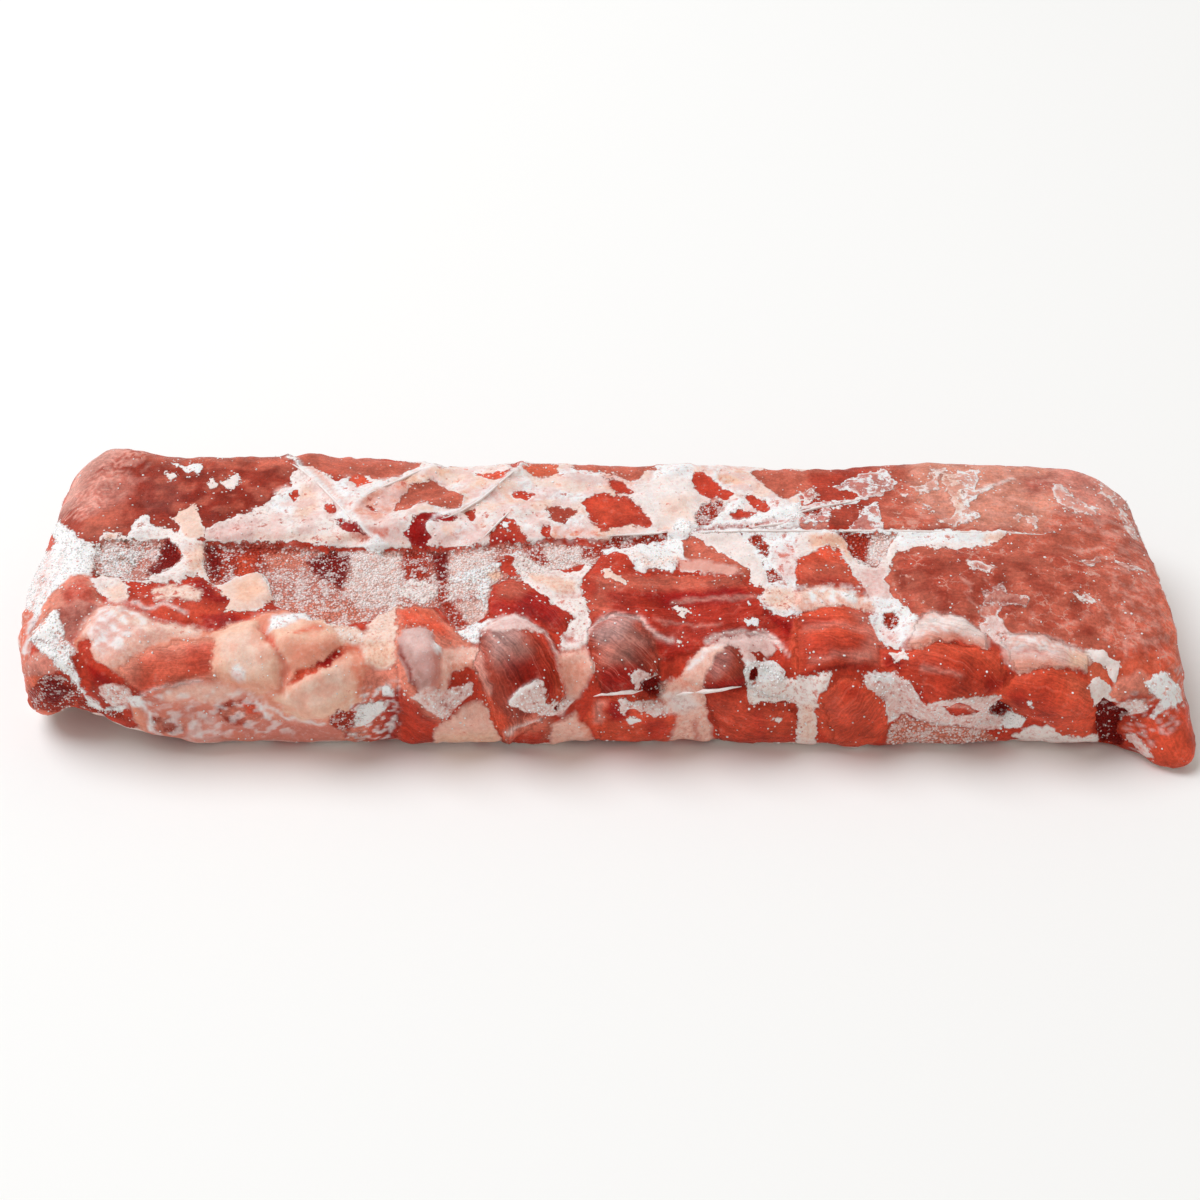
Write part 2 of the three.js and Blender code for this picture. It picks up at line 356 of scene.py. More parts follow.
def dapple(colour, outline, size, seed, level=0.2, strength=0.6):
    """Small soft blots of another colour. A higher level leaves fewer."""
    blots = steps(wander(place, size, seed), level - 0.3, level + 0.4)
    part = steps(depth_inside(outline), -1.0, 1.5) * blots
    shade(lean_tone, colour, strength * part)
    shade(pale_tone, colour, strength * part)


def marble(outline, amount):
    """Lean with a fine net of fat in it."""
    marbling[:] += steps(depth_inside(outline), -3.0, 3.0) * (amount - marbling)


def paint(**strokes):
    """Paints one place of the slab in strokes, later ones over earlier ones. Each stroke is named for what it
    shows. It holds one of the ways above, a colour, an outline in pixels of the photograph, and amounts."""
    for way, *told in strokes.values():
        way(*told)


everywhere = np.ones(count)
shade(lean_tone, RED, everywhere)
shade(pale_tone, FILM, everywhere)
shade(bed_tone, CLOT, everywhere)

# Away from tended places the fibres run along the slab, and its lean is mottled red and brown.
fibre_path[:, 0] = place[:, 0] / MM
fibre_path[:, 1] = (place[:, 1] - place[:, 2]) / MM

# The lean along the far side, from the dried left corner to the loin eye at the right.
paint(
    dried_left_part=(tint, BRICK, [(40, 430), (300, 430), (300, 545), (40, 545)], 3),
    pale_left_rim=(tint, BLUSH, [(116, 430), (88, 440), (66, 475), (54, 505), (66, 514), (84, 488), (98, 466),
        (124, 454)], 1.5, 0.8),
    rosy_patch_by_rim=(tint, ROSE, [(75, 500), (88, 478), (110, 466), (135, 476), (140, 492), (120, 506),
        (95, 520), (78, 515)], 2, 0.7),
    lean_above_pit=(tint, LOIN, [(80, 535), (84, 520), (105, 510), (125, 503), (134, 512), (128, 532),
        (95, 538)], 1.5),
    dark_middle=(tint, MAROON, [(190, 486), (240, 484), (286, 488), (270, 500), (215, 524), (170, 524),
        (150, 505)], 3, 0.7),
    dusky_patch=(tint, DUSK, [(140, 500), (150, 480), (175, 478), (190, 492), (165, 512), (148, 514)], 2.5,
        0.8),
    brown_left_part=(tint, MAROON, [(120, 446), (300, 452), (292, 500), (200, 528), (110, 532), (128, 490)],
        4, 0.45),
    far_edge_at_left=(tint, LOIN, [(128, 454), (290, 458), (290, 468), (210, 466), (160, 462)]),
    far_edge_by_first_fold=(tint, LOIN, [(262, 430), (420, 430), (420, 470), (395, 482), (352, 480),
        (300, 466)]),
    far_edge_in_middle=(tint, ORANGE, [(420, 430), (830, 430), (830, 474), (420, 474)]),
    loin_eye=(tint, LOIN, [(870, 430), (1220, 430), (1200, 640), (1100, 660), (985, 640), (890, 615),
        (870, 560)], 4),
    left_of_loin_eye=(tint, BRICK, [(800, 430), (905, 430), (900, 490), (860, 520), (800, 500)], 4, 0.5),
    pale_far_part_of_loin=(tint, LOIN_PALE, [(905, 430), (1060, 430), (1062, 500), (1040, 530), (960, 528),
        (915, 505)], 4),
    rosy_far_right=(tint, ROSE, [(1040, 430), (1140, 430), (1135, 500), (1100, 520), (1060, 505)], 4),
    dusky_spot=(tint, DUSK, [(1020, 478), (1050, 474), (1056, 488), (1030, 496)], 3),
    brown_near_part_of_loin=(tint, BRICK, [(905, 560), (1000, 550), (1010, 600), (940, 606)], 5, 0.6),
    right_rim=(tint, ORANGE, [(1135, 500), (1200, 520), (1200, 780), (1165, 780), (1168, 640)], 2.5),
    pale_blots_at_left_corner=(dapple, BLUSH, [(60, 440), (140, 450), (160, 470), (120, 500), (60, 520)], 6,
        41, 0.5, 0.4),
    small_pale_blots_on_rim=(dapple, BLUSH, [(50, 520), (70, 460), (100, 430), (200, 430), (130, 466),
        (90, 520)], 2.2, 57, 0.1, 0.7),
    lighter_blots=(dapple, LOIN, [(150, 460), (300, 460), (280, 500), (160, 530)], 9, 42),
    darker_blots=(dapple, MAROON, [(130, 460), (300, 460), (280, 500), (120, 530)], 7, 43, 0.4, 0.5),
)

# The left end: frost over the cut side, the lobe below it, and the skin that folds round the pit.
paint(
    frost_over_cut_side=(cover, SNOW, [(50, 534), (58, 520), (72, 530), (78, 538), (96, 546), (96, 556),
        (92, 576), (77, 576), (60, 590), (44, 612), (15, 640), (20, 592), (36, 572), (40, 550)], 0.6, 2, 0.8,
        0.5, 0.08),
    lilac_in_frost=(wash, LILAC, [(30, 560), (48, 540), (56, 556), (52, 590), (34, 612), (26, 600)], 2,
        0.35),
    crack_in_frost=(streak, ROSE, [(50, 552), (44, 580), (34, 606)], 0.8, 0.6),
    second_crack=(streak, ROSE, [(66, 545), (60, 570), (46, 596)], 0.6, 0.5),
    red_chip=(bare, SCARLET, [(45, 545), (48, 538), (55, 537), (57, 543), (52, 553), (47, 551)]),
    skin_round_pit=(cover, FILM, [(97, 545), (104, 534), (112, 531), (128, 538), (131, 530), (133, 522),
        (147, 514), (151, 525), (170, 530), (190, 541), (208, 543), (204, 560), (212, 585), (196, 574),
        (180, 582), (150, 583), (116, 578), (90, 572)], 0.5, 1.5, 0.35, 0.2, 0.2),
    frosty_tip_of_skin=(wash, SNOW, [(128, 540), (133, 520), (150, 514), (158, 530), (140, 545)], 1.2, 0.7),
    peach_edge_above_pit=(wash, PEACH, [(112, 534), (128, 540), (118, 545), (104, 542)], 1, 0.8),
    peach_right_of_pit=(wash, PEACH, [(186, 552), (206, 545), (205, 575), (190, 572)], 1.6, 0.8),
    pit=(sawn, PULP, [(97, 547), (104, 541), (124, 541), (138, 540), (150, 541), (163, 539), (168, 538),
        (178, 548), (183, 558), (172, 569), (155, 576), (143, 580), (118, 577), (97, 574), (93, 560)], -2.2,
        5, 0.9),
    dark_gaps_in_pit=(tint, GREEN_BLACK, [(94, 544), (130, 538), (150, 542), (150, 578), (96, 576)], 1),
    white_crumbs_in_pit=(cover, SNOW, [(99, 548), (112, 545), (128, 547), (140, 552), (136, 562), (124, 572),
        (112, 574), (102, 570)], 0.9, 2.5, 0.75, 0.25, 0.6),
    pulp_in_pit=(steep, PULP, [(130, 558), (150, 556), (160, 572), (148, 582), (128, 580)], 1.2, 0.5),
    marrow_in_pit=(steep, MARROW, [(160, 545), (168, 536), (175, 542), (182, 553), (174, 562), (166, 570),
        (150, 574), (145, 574), (150, 562), (158, 556)], 0.8, 0.12),
    flake_in_pit=(cover, LILAC, [(147, 550), (157, 543), (160, 552), (155, 559), (147, 558)], 0.9, 2, 0.4),
    cream_flap=(cover, CREAM, [(172, 519), (184, 509), (197, 506), (200, 520), (206, 530), (203, 536),
        (196, 541), (186, 540), (178, 533), (180, 528)], 0.5, 1),
    far_flake=(cover, SNOW, [(170, 462), (184, 467), (203, 463), (201, 470), (190, 474), (178, 467)], 0.3,
        0.8, 0.1, 0.15, 0.3),
    flake_below_it=(cover, FILM, [(164, 473), (172, 472), (177, 478), (170, 480)], 0.3, 0.8, 0.1, 0.15, 0.3),
    small_flake=(cover, FILM, [(207, 485), (212, 479), (219, 484), (211, 491)], 0.3, 0.8, 0.1, 0.15, 0.3),
    long_flake=(cover, FILM, [(220, 484), (230, 477), (238, 474), (240, 482), (234, 488), (225, 488)], 0.4),
    flap_below_pit=(cover, FILM, [(88, 578), (100, 576), (120, 578), (132, 590), (130, 602), (112, 604),
        (97, 590)], 0.5, 2, 0.2),
    cream_in_flap=(wash, CREAM, [(104, 588), (124, 584), (128, 600), (112, 602)], 1.2),
    lobe=(bare, CORAL, [(30, 640), (44, 606), (60, 588), (76, 574), (88, 576), (94, 590), (102, 604),
        (88, 612), (70, 612), (58, 626), (40, 644)], 0.8, 3, 0.45, 0.6),
    red_of_lobe=(tint, RED, [(62, 596), (76, 578), (88, 580), (96, 600), (86, 606), (70, 606)], 1.5, 0.8),
    muscle_below_pit=(bare, RED, [(127, 590), (150, 583), (180, 584), (200, 580), (215, 592), (231, 598),
        (240, 614), (246, 621), (228, 628), (210, 631), (182, 626), (150, 620), (130, 612)], 0.5, 4, 0.15),
    bright_middle_of_muscle=(tint, SCARLET, [(130, 600), (160, 604), (200, 604), (225, 612), (205, 622),
        (165, 618), (132, 610)], 1.5, 0.7),
    dark_top_of_muscle=(tint, DEEP, [(188, 582), (202, 580), (216, 593), (231, 599), (222, 606), (200, 598)],
        0.8, 0.9),
    dark_foot_of_muscle=(tint, DEEP, [(200, 616), (238, 615), (245, 621), (228, 627), (205, 628)], 1, 0.8),
    fat_on_muscle=(cover, CREAM, [(150, 592), (164, 587), (190, 587), (204, 594), (196, 602), (175, 600),
        (156, 601)], 0.3, 1.5, 0.3, 0.9, 0.4),
    white_seam_on_muscle=(streak, FILM, [(134, 604), (150, 610), (166, 604), (186, 612)], 0.7, 0.7),
)

# The lobe at the near left: frost with cracks, pulp, the sawn end bone, and a bright tip.
paint(
    side_of_lobe=(fat, CORAL, [(5, 660), (22, 606), (34, 612), (30, 650), (24, 690), (8, 700)], 0.2, 2, 0.8,
        0.3),
    orange_line_down_side=(streak, ORANGE, [(26, 625), (22, 660), (18, 690)], 1.2, 0.7),
    frost_line=(streak, SNOW, [(38, 610), (30, 630), (26, 652)]),
    dusky_lean=(bare, DUSK, [(58, 614), (66, 604), (84, 602), (96, 606), (90, 618), (78, 636), (66, 642),
        (58, 630)], 0.2, 2, 0.6, 0.6),
    cracked_frost=(cover, SNOW, [(32, 640), (44, 622), (56, 612), (62, 622), (66, 640), (74, 650), (72, 658),
        (80, 672), (90, 690), (84, 694), (70, 676), (58, 668), (44, 656)], 0.6, 1.5, 0.9, 0.5, 0.4),
    crack=(streak, MAROON, [(36, 642), (46, 640), (56, 646)], 0.6, 0.7),
    second_crack=(streak, MAROON, [(52, 634), (60, 642), (68, 652)], 0.5, 0.6),
    pulp=(bare, ROSE, [(24, 664), (36, 652), (50, 656), (60, 668), (46, 674), (30, 680)], 0.5, 2, 0.4, 0.6),
    bright_tip=(bare, ORANGE, [(10, 690), (28, 676), (62, 680), (80, 698), (60, 720), (38, 732), (15, 726)],
        0.6, 3, 0.3, 0.4),
    sawn_end_bone=(sawn, CLOT, [(24, 694), (36, 684), (42, 676), (56, 673), (66, 678), (76, 684), (82, 698),
        (66, 710), (50, 709), (32, 706)], -0.8, 2, 0.4, 0.3),
    marrow_of_end_bone=(steep, MARROW, [(42, 682), (58, 678), (72, 690), (58, 704), (42, 700)], 1.5, 0.22),
    sawn_edge_below=(sawn, CLOT, [(77, 702), (84, 698), (99, 710), (119, 706), (122, 718), (100, 717),
        (82, 712)], -0.6, 2, 0.35, 0.3),
    frost_over_edge=(cover, SNOW, [(84, 690), (92, 700), (104, 708), (126, 704), (126, 710), (104, 714),
        (88, 706)], 0.4, 1, 0.4, 0.3),
)

# The soft fat of the chine side: one waxy mass, peach to salmon, with lean in the seams between its lumps.
paint(
    whole_mass=(fat, SALMON, [(74, 644), (84, 626), (98, 607), (120, 604), (141, 614), (152, 620), (182, 627),
        (212, 631), (236, 624), (262, 614), (300, 610), (340, 622), (374, 638), (372, 668), (366, 690),
        (345, 712), (345, 760), (150, 760), (128, 700), (112, 686), (84, 664)], 0.5, 4, 1.2, 0.12),
    upper_left_lump=(fat, TALLOW, [(80, 636), (86, 626), (99, 608), (120, 605), (142, 615), (160, 624),
        (200, 630), (200, 636), (160, 640), (136, 654), (118, 668), (106, 668), (96, 656), (92, 642)], 1.2, 6,
        1.6, 0.2),
    lilac_on_lump=(wash, LILAC, [(92, 630), (104, 612), (126, 610), (146, 622), (120, 644), (104, 656),
        (96, 644)], 3),
    cream_top_of_lump=(wash, CREAM, [(112, 612), (140, 618), (200, 630), (190, 636), (150, 634), (120, 626)],
        2),
    frost_on_lump=(dapple, SNOW, [(86, 640), (98, 610), (130, 608), (150, 624), (110, 664)], 4, 55, 0.1,
        0.7),
    pink_on_lump=(dapple, BLUSH, [(86, 640), (98, 610), (130, 608), (180, 632), (110, 664)], 3, 56),
    pink_muscle=(bare, CORAL, [(120, 672), (130, 662), (150, 650), (180, 644), (213, 642), (216, 662),
        (210, 678), (188, 680), (165, 690), (146, 696), (130, 688)], 0.8, 5, 0.1, 2),
    brighter_muscle=(tint, SCARLET, [(140, 658), (216, 650), (214, 676), (140, 690)], 3, 0.7),
    red_right_end_of_muscle=(tint, RED, [(190, 646), (216, 644), (214, 676), (186, 676)], 3, 0.6),
    red_left_end_of_muscle=(tint, RED, [(130, 676), (160, 676), (156, 690), (142, 694)], 2.5, 0.6),
    fibres_of_muscle=(run_fibres, (165, 300), [(118, 674), (130, 661), (180, 643), (216, 640), (216, 677),
        (142, 691)], 0.8),
    seam_of_lean=(bare, RED, [(80, 642), (90, 640), (94, 658), (112, 671), (130, 684), (148, 694), (138, 697),
        (120, 690), (106, 684), (98, 690), (110, 706), (98, 704), (84, 688), (74, 664)], -0.3, 2, 0.1, 0.5),
    dark_seam=(tint, DEEP, [(84, 664), (96, 668), (116, 682), (112, 690), (96, 686)], 1.5, 0.9),
    darkest_seam=(tint, MAROON, [(92, 680), (98, 690), (108, 702), (98, 700), (88, 690)], 1, 0.7),
    flake_by_seam=(cover, LILAC, [(98, 690), (106, 684), (120, 684), (132, 692), (130, 702), (114, 706)], 0.4,
        1.5, 0.6, 0.5, 0.4),
    rosy_underside=(wash, ROSE, [(140, 700), (152, 690), (180, 680), (230, 678), (262, 692), (262, 740),
        (150, 740)], 2),
    pale_fold=(wash, TALLOW, [(160, 692), (176, 684), (232, 682), (240, 696), (210, 704), (172, 704)], 2),
    lilac_foot=(wash, LILAC, [(186, 716), (216, 716), (220, 736), (190, 738)], 1.5, 0.8),
    rosy_foot=(wash, ROSE, [(262, 716), (340, 724), (345, 745), (250, 745)], 2.5),
    lean_at_foot=(bare, BRICK, [(150, 718), (166, 716), (186, 724), (182, 732), (158, 732)], -0.2, 1.5, 0.5,
        0.6),
    lean_under_fold=(bare, BRICK, [(214, 706), (230, 700), (260, 702), (262, 716), (246, 724), (226, 720)],
        -0.2, 2, 0.3, 0.9),
    bright_end_of_lean=(tint, SCARLET, [(244, 704), (262, 704), (260, 718), (246, 718)], 1, 0.9),
    coral_blots_below=(dapple, CORAL, [(146, 700), (262, 692), (266, 738), (146, 738)], 6, 44, 0.2, 0.7),
    frost_blots_below=(dapple, SNOW, [(140, 690), (270, 686), (300, 735), (150, 738)], 4.5, 45, 0.5, 0.5),
    coral_line=(streak, CORAL, [(150, 708), (180, 700), (214, 708)], 1, 0.6),
    frost_line_at_top=(streak, SNOW, [(150, 690), (172, 684), (200, 680)], 0.6, 0.5),
    frost_line_at_left=(streak, SNOW, [(140, 698), (148, 712), (152, 728)], 0.8),
    frost_line_at_right=(streak, SNOW, [(236, 676), (248, 690), (260, 706), (270, 718)]),
    frost_line_along_foot=(streak, SNOW, [(262, 692), (268, 706), (284, 716), (324, 722)], 0.6, 0.7),
    white_crumb=(cover, SNOW, [(128, 698), (138, 694), (144, 700), (134, 705)], 0.4, 1, 0.4),
    middle_lump=(fat, PEACH, [(214, 634), (240, 624), (256, 622), (268, 640), (276, 648), (283, 664),
        (280, 684), (262, 694), (244, 688), (225, 680), (212, 666), (217, 650)], 1.6, 8, 0.9, 0.1),
    cream_of_middle_lump=(wash, CREAM, [(222, 640), (250, 632), (270, 650), (266, 672), (236, 672),
        (220, 656)], 3, 0.7),
    salmon_foot_of_middle_lump=(wash, SALMON, [(214, 674), (240, 680), (282, 680), (280, 692), (250, 694),
        (216, 684)], 2.5, 0.6),
    frost_on_middle_lump=(cover, SNOW, [(232, 672), (238, 667), (246, 672), (244, 678), (238, 680)], 0.3, 0.8,
        0.3),
    far_right_lump=(fat, PEACH, [(270, 632), (285, 628), (312, 620), (332, 624), (344, 644), (326, 656),
        (308, 667), (292, 668), (286, 655), (278, 644)], 1.4, 8, 0.9, 0.1),
    salmon_foot_of_far_lump=(wash, SALMON, [(288, 646), (336, 640), (342, 648), (310, 668), (290, 668)], 3),
    orange_line_on_far_lump=(streak, ORANGE, [(296, 634), (312, 632), (322, 631)], 1.1, 0.9),
    near_right_lump=(fat, PEACH, [(276, 698), (292, 684), (312, 670), (330, 668), (350, 656), (366, 660),
        (370, 682), (362, 702), (340, 712), (300, 718), (284, 708)], 1.6, 8, 1.2, 0.1),
    cream_of_near_lump=(wash, CREAM, [(286, 696), (312, 676), (344, 664), (352, 680), (330, 702), (300, 708)],
        3, 0.7),
    salmon_right_end=(wash, SALMON, [(348, 650), (368, 654), (372, 690), (356, 700), (352, 674)], 2, 0.9),
    orange_line_at_right_end=(streak, ORANGE, [(354, 668), (362, 680), (356, 692)], 1, 0.6),
    salmon_blots=(dapple, SALMON, [(214, 634), (268, 624), (345, 622), (370, 660), (340, 712), (284, 712),
        (214, 680)], 7, 64, 0.2, 0.4),
    groove_between_lumps=(ridge, [(262, 628), (278, 648), (284, 672), (280, 690)], -1.2, 1.6),
    coral_in_groove=(streak, CORAL, [(262, 628), (276, 648), (284, 666), (284, 688)], 1.5, 0.9),
    red_in_groove=(streak, SCARLET, [(264, 632), (276, 648)], 0.9, 0.6),
    cleft=(bare, SCARLET, [(288, 686), (296, 670), (312, 668), (342, 646), (346, 652), (330, 666),
        (306, 676)], -0.6, 1.5, 0.05, 0.7),
    deep_end_of_cleft=(tint, DEEP, [(312, 666), (326, 656), (342, 645), (346, 652), (330, 668)], 1),
    orange_line_past_cleft=(streak, ORANGE, [(342, 650), (354, 645), (364, 650), (367, 664)], 1.2, 0.9),
    frost_above_lumps=(cover, SNOW, [(268, 630), (274, 618), (300, 616), (303, 610), (318, 610), (330, 616),
        (326, 622), (300, 620), (282, 628)], 0.4, 1.5, 0.6, 0.4),
    peach_above_lumps=(wash, PEACH, [(312, 612), (326, 612), (330, 622), (314, 624)], 1, 0.9),
    cream_seam=(fat, CREAM, [(330, 618), (345, 626), (366, 632), (372, 644), (350, 642), (338, 640)], 0.4, 2,
        1, 0.6),
    sawn_spot_at_foot=(sawn, CLOT, [(330, 716), (338, 709), (352, 711), (364, 713), (360, 726), (340, 731),
        (331, 724)], -0.4, 2, 0.45, 0.5),
)

# The near side between the fat and the first knuckle.
paint(
    cream_fat=(fat, CREAM, [(362, 640), (372, 620), (392, 606), (404, 598), (406, 640), (398, 662),
        (384, 672), (366, 662)], 0.6, 4, 1.2, 0.3),
    peach_foot_of_fat=(wash, PEACH, [(366, 642), (396, 645), (394, 662), (380, 668), (366, 660)], 2),
    lean_below=(bare, CORAL, [(366, 668), (386, 670), (404, 664), (408, 700), (402, 750), (345, 750),
        (352, 728), (364, 716), (362, 700)], 0.2, 3, 0.25, 1.2),
    dark_lean=(tint, DEEP, [(386, 690), (406, 690), (406, 750), (378, 750)], 2, 0.9),
    red_lean=(tint, RED, [(366, 700), (386, 690), (386, 745), (366, 745)], 2, 0.7),
    frost_blots=(dapple, SNOW, [(350, 690), (400, 680), (404, 745), (345, 745)], 2.6, 46, 0.5, 0.7),
    frost_flake=(cover, SNOW, [(354, 716), (364, 704), (384, 700), (386, 708), (370, 722), (356, 728)], 0.4,
        1.5, 0.6, 0.3, 0.3),
    small_flake=(cover, SNOW, [(382, 686), (390, 684), (394, 692), (384, 695)]),
)

# The skin over the middle of the slab, from its torn left tip to the fifth rib, with its folds and tears.
paint(
    whole_skin=(cover, FILM, [(204, 542), (206, 528), (231, 518), (263, 506), (276, 496), (283, 489),
        (291, 486), (291, 475), (300, 469), (283, 455), (288, 453), (303, 467), (314, 467), (337, 481),
        (362, 474), (385, 482), (400, 479), (415, 471), (421, 464), (424, 430), (800, 430), (800, 531),
        (690, 535), (600, 539), (550, 538), (530, 542), (500, 541), (480, 546), (400, 547), (325, 547),
        (300, 542)], 0.4, 1.2, 0.25, 0.15, 0.3),
    # Salmon on the skin just right of the first fold, where it falls away from the ridge, is painted shade.
    salmon_right_of_first_fold=(wash, SALMON, [(304, 467), (314, 467), (330, 480), (336, 492), (356, 517),
        (346, 518), (330, 500), (318, 484)], 0.8, 0.6),
    salmon_between_folds=(wash, SALMON, [(348, 512), (365, 495), (390, 487), (410, 477), (412, 490),
        (395, 505), (382, 522), (362, 522)], 1.2, 0.8),
    peach_left_of_first_fold=(wash, PEACH, [(300, 487), (314, 488), (318, 505), (310, 520), (296, 520),
        (296, 502)], 1.5, 0.7),
    peach_along_crease=(wash, PEACH, [(250, 540), (258, 530), (290, 535), (330, 536), (365, 532), (360, 544),
        (320, 542)], 1.8, 0.5),
    peach_at_far_edge=(wash, PEACH, [(400, 479), (440, 468), (462, 470), (436, 480), (410, 486)], 1),
    peach_by_third_fold=(wash, PEACH, [(455, 498), (470, 484), (482, 478), (486, 486), (470, 500)], 1.2),
    # Greyish lilac on the skin beside the third fold is painted shade.
    lilac_by_third_fold=(wash, LILAC, [(470, 498), (486, 484), (500, 484), (498, 498), (480, 506)], 1.5),
    lilac_left_tip=(wash, LILAC, [(206, 530), (240, 520), (266, 520), (250, 540), (206, 541)], 2),
    lilac_below_third_fold=(wash, LILAC, [(436, 528), (480, 524), (494, 532), (480, 544), (436, 545)], 2),
    frost_between_folds=(wash, SNOW, [(328, 480), (352, 480), (366, 490), (345, 500), (334, 490)], 1.5),
    frost_at_left=(wash, SNOW, [(270, 503), (285, 488), (302, 486), (290, 515), (275, 512)], 1.5),
    rose_where_folds_meet=(wash, ROSE, [(350, 536), (362, 527), (390, 528), (392, 538), (370, 542)], 1.2),
    salmon_by_crease=(wash, SALMON, [(548, 540), (556, 527), (604, 526), (606, 538)], 1.5),
    salmon_at_far_edge=(wash, SALMON, [(600, 474), (640, 478), (632, 492), (606, 492)], 1.5, 0.8),
    peach_at_right=(wash, PEACH, [(716, 474), (735, 468), (750, 474), (745, 486), (722, 484)], 1.2),
    lilac_in_middle=(wash, LILAC, [(500, 494), (560, 488), (580, 494), (560, 500), (520, 506)], 2),
    frost_in_middle=(wash, SNOW, [(556, 466), (602, 468), (600, 490), (586, 500), (590, 530), (566, 528),
        (548, 500)], 2),
    frost_left_of_middle=(wash, SNOW, [(520, 478), (548, 480), (540, 492), (505, 492)], 2, 0.8),
    frost_at_right_end=(wash, SNOW, [(800, 440), (800, 530), (745, 530), (760, 505), (740, 480)], 2, 0.6),
    frost_blots=(dapple, SNOW, [(380, 545), (420, 470), (800, 455), (800, 535)], 3.2, 47, 0.4),
    coral_blots=(dapple, CORAL, [(480, 545), (500, 470), (800, 455), (800, 535)], 3, 48, 0.8, 0.35),
    broad_peach_blots=(dapple, PEACH, [(400, 545), (430, 470), (800, 455), (800, 535)], 13, 62, 0.35, 0.55),
    broad_lilac_blots=(dapple, LILAC, [(210, 542), (290, 480), (430, 470), (800, 455), (800, 535),
        (500, 545)], 9, 63, 0.2, 0.7),
    first_fold=(ridge, [(283, 454), (300, 467), (320, 485), (335, 502), (358, 525), (376, 539)], 1.1, 1.3),
    second_fold=(ridge, [(440, 466), (412, 474), (385, 486), (365, 496), (352, 512)], 0.9, 1.4),
    third_fold=(ridge, [(430, 522), (462, 511), (480, 500), (500, 483), (521, 467)], 1, 1.4),
    fourth_fold=(ridge, [(478, 541), (500, 520), (520, 503)], 0.5, 1.2),
)
skin_tears = {
    "left of the first fold": (RED, [(289, 495), (299, 489), (298, 498), (294, 502)]),
    "under the first fold": (RED, [(322, 503), (333, 505), (338, 511), (335, 515), (326, 511)]),
    "slit by the fold": (DEEP, [(332, 518), (343, 523), (357, 523), (368, 534), (358, 533), (342, 530)]),
    "between the folds": (RED, [(367, 508), (375, 507), (379, 513), (371, 512)]),
    "far edge nick": (SCARLET, [(350, 478), (361, 473), (372, 483), (360, 488), (351, 483)]),
    "far edge": (LOIN, [(352, 474), (400, 478), (415, 470), (418, 450), (352, 450)]),
    "far rim": (LOIN, [(425, 450), (470, 450), (466, 465), (446, 469), (428, 465)]),
    "big heart": (LOIN, [(392, 512), (400, 500), (411, 486), (432, 480), (446, 489), (463, 496), (462, 510),
                         (440, 507), (422, 502), (408, 509)]),
    "under the heart": (DEEP, [(413, 517), (420, 512), (440, 515), (457, 518), (450, 522), (420, 522)]),
    "dark spade": (DEEP, [(401, 533), (408, 530), (412, 520), (421, 521), (431, 538), (426, 547),
                          (412, 544)]),
    "far crumbs": (SCARLET, [(473, 473), (485, 474), (512, 471), (503, 482), (487, 480)]),
    "far slit": (RED, [(503, 463), (512, 460), (524, 465), (516, 469)]),
    "far flame": (ORANGE, [(521, 469), (532, 463), (558, 464), (558, 476), (536, 477)]),
    "small lens": (RED, [(510, 494), (522, 490), (537, 496), (521, 500)]),
    "little drop": (RED, [(464, 517), (476, 508), (474, 521)]),
    "spade by the crease": (RED, [(488, 543), (495, 528), (504, 515), (516, 521), (526, 541), (500, 543)]),
    "small nick": (RED, [(540, 529), (549, 526), (551, 534), (546, 540), (541, 537)]),
    "brown crumb": (BRICK, [(547, 510), (554, 505), (578, 511), (570, 518), (566, 524), (550, 518)]),
    "middle far edge": (LOIN, [(560, 450), (690, 450), (672, 466), (648, 471), (632, 483), (616, 475),
                               (575, 470)]),
    "speckled drop": (RED, [(604, 478), (622, 482), (634, 492), (616, 494)]),
    "middle": (RED, [(581, 502), (600, 494), (628, 496), (642, 509), (655, 529), (632, 526), (600, 531),
                     (590, 519)]),
    "right far edge": (RED, [(689, 475), (704, 472), (712, 482), (735, 494), (727, 501), (700, 496)]),
    "right crumb": (RED, [(675, 493), (683, 491), (684, 496), (677, 497)]),
    "right big": (LOIN, [(750, 473), (765, 469), (806, 466), (808, 492), (782, 500), (770, 489), (757, 481)]),
    "right drop": (RED, [(742, 494), (757, 498), (773, 508), (768, 515), (754, 509)]),
    "right lens": (RED, [(727, 517), (741, 510), (757, 515), (740, 522)]),
    "right slit": (BRICK, [(744, 525), (757, 522), (758, 528), (747, 530)]),
}
for colour, outline in skin_tears.values():
    bare(colour, outline, -0.4, 1.0, 0.15)
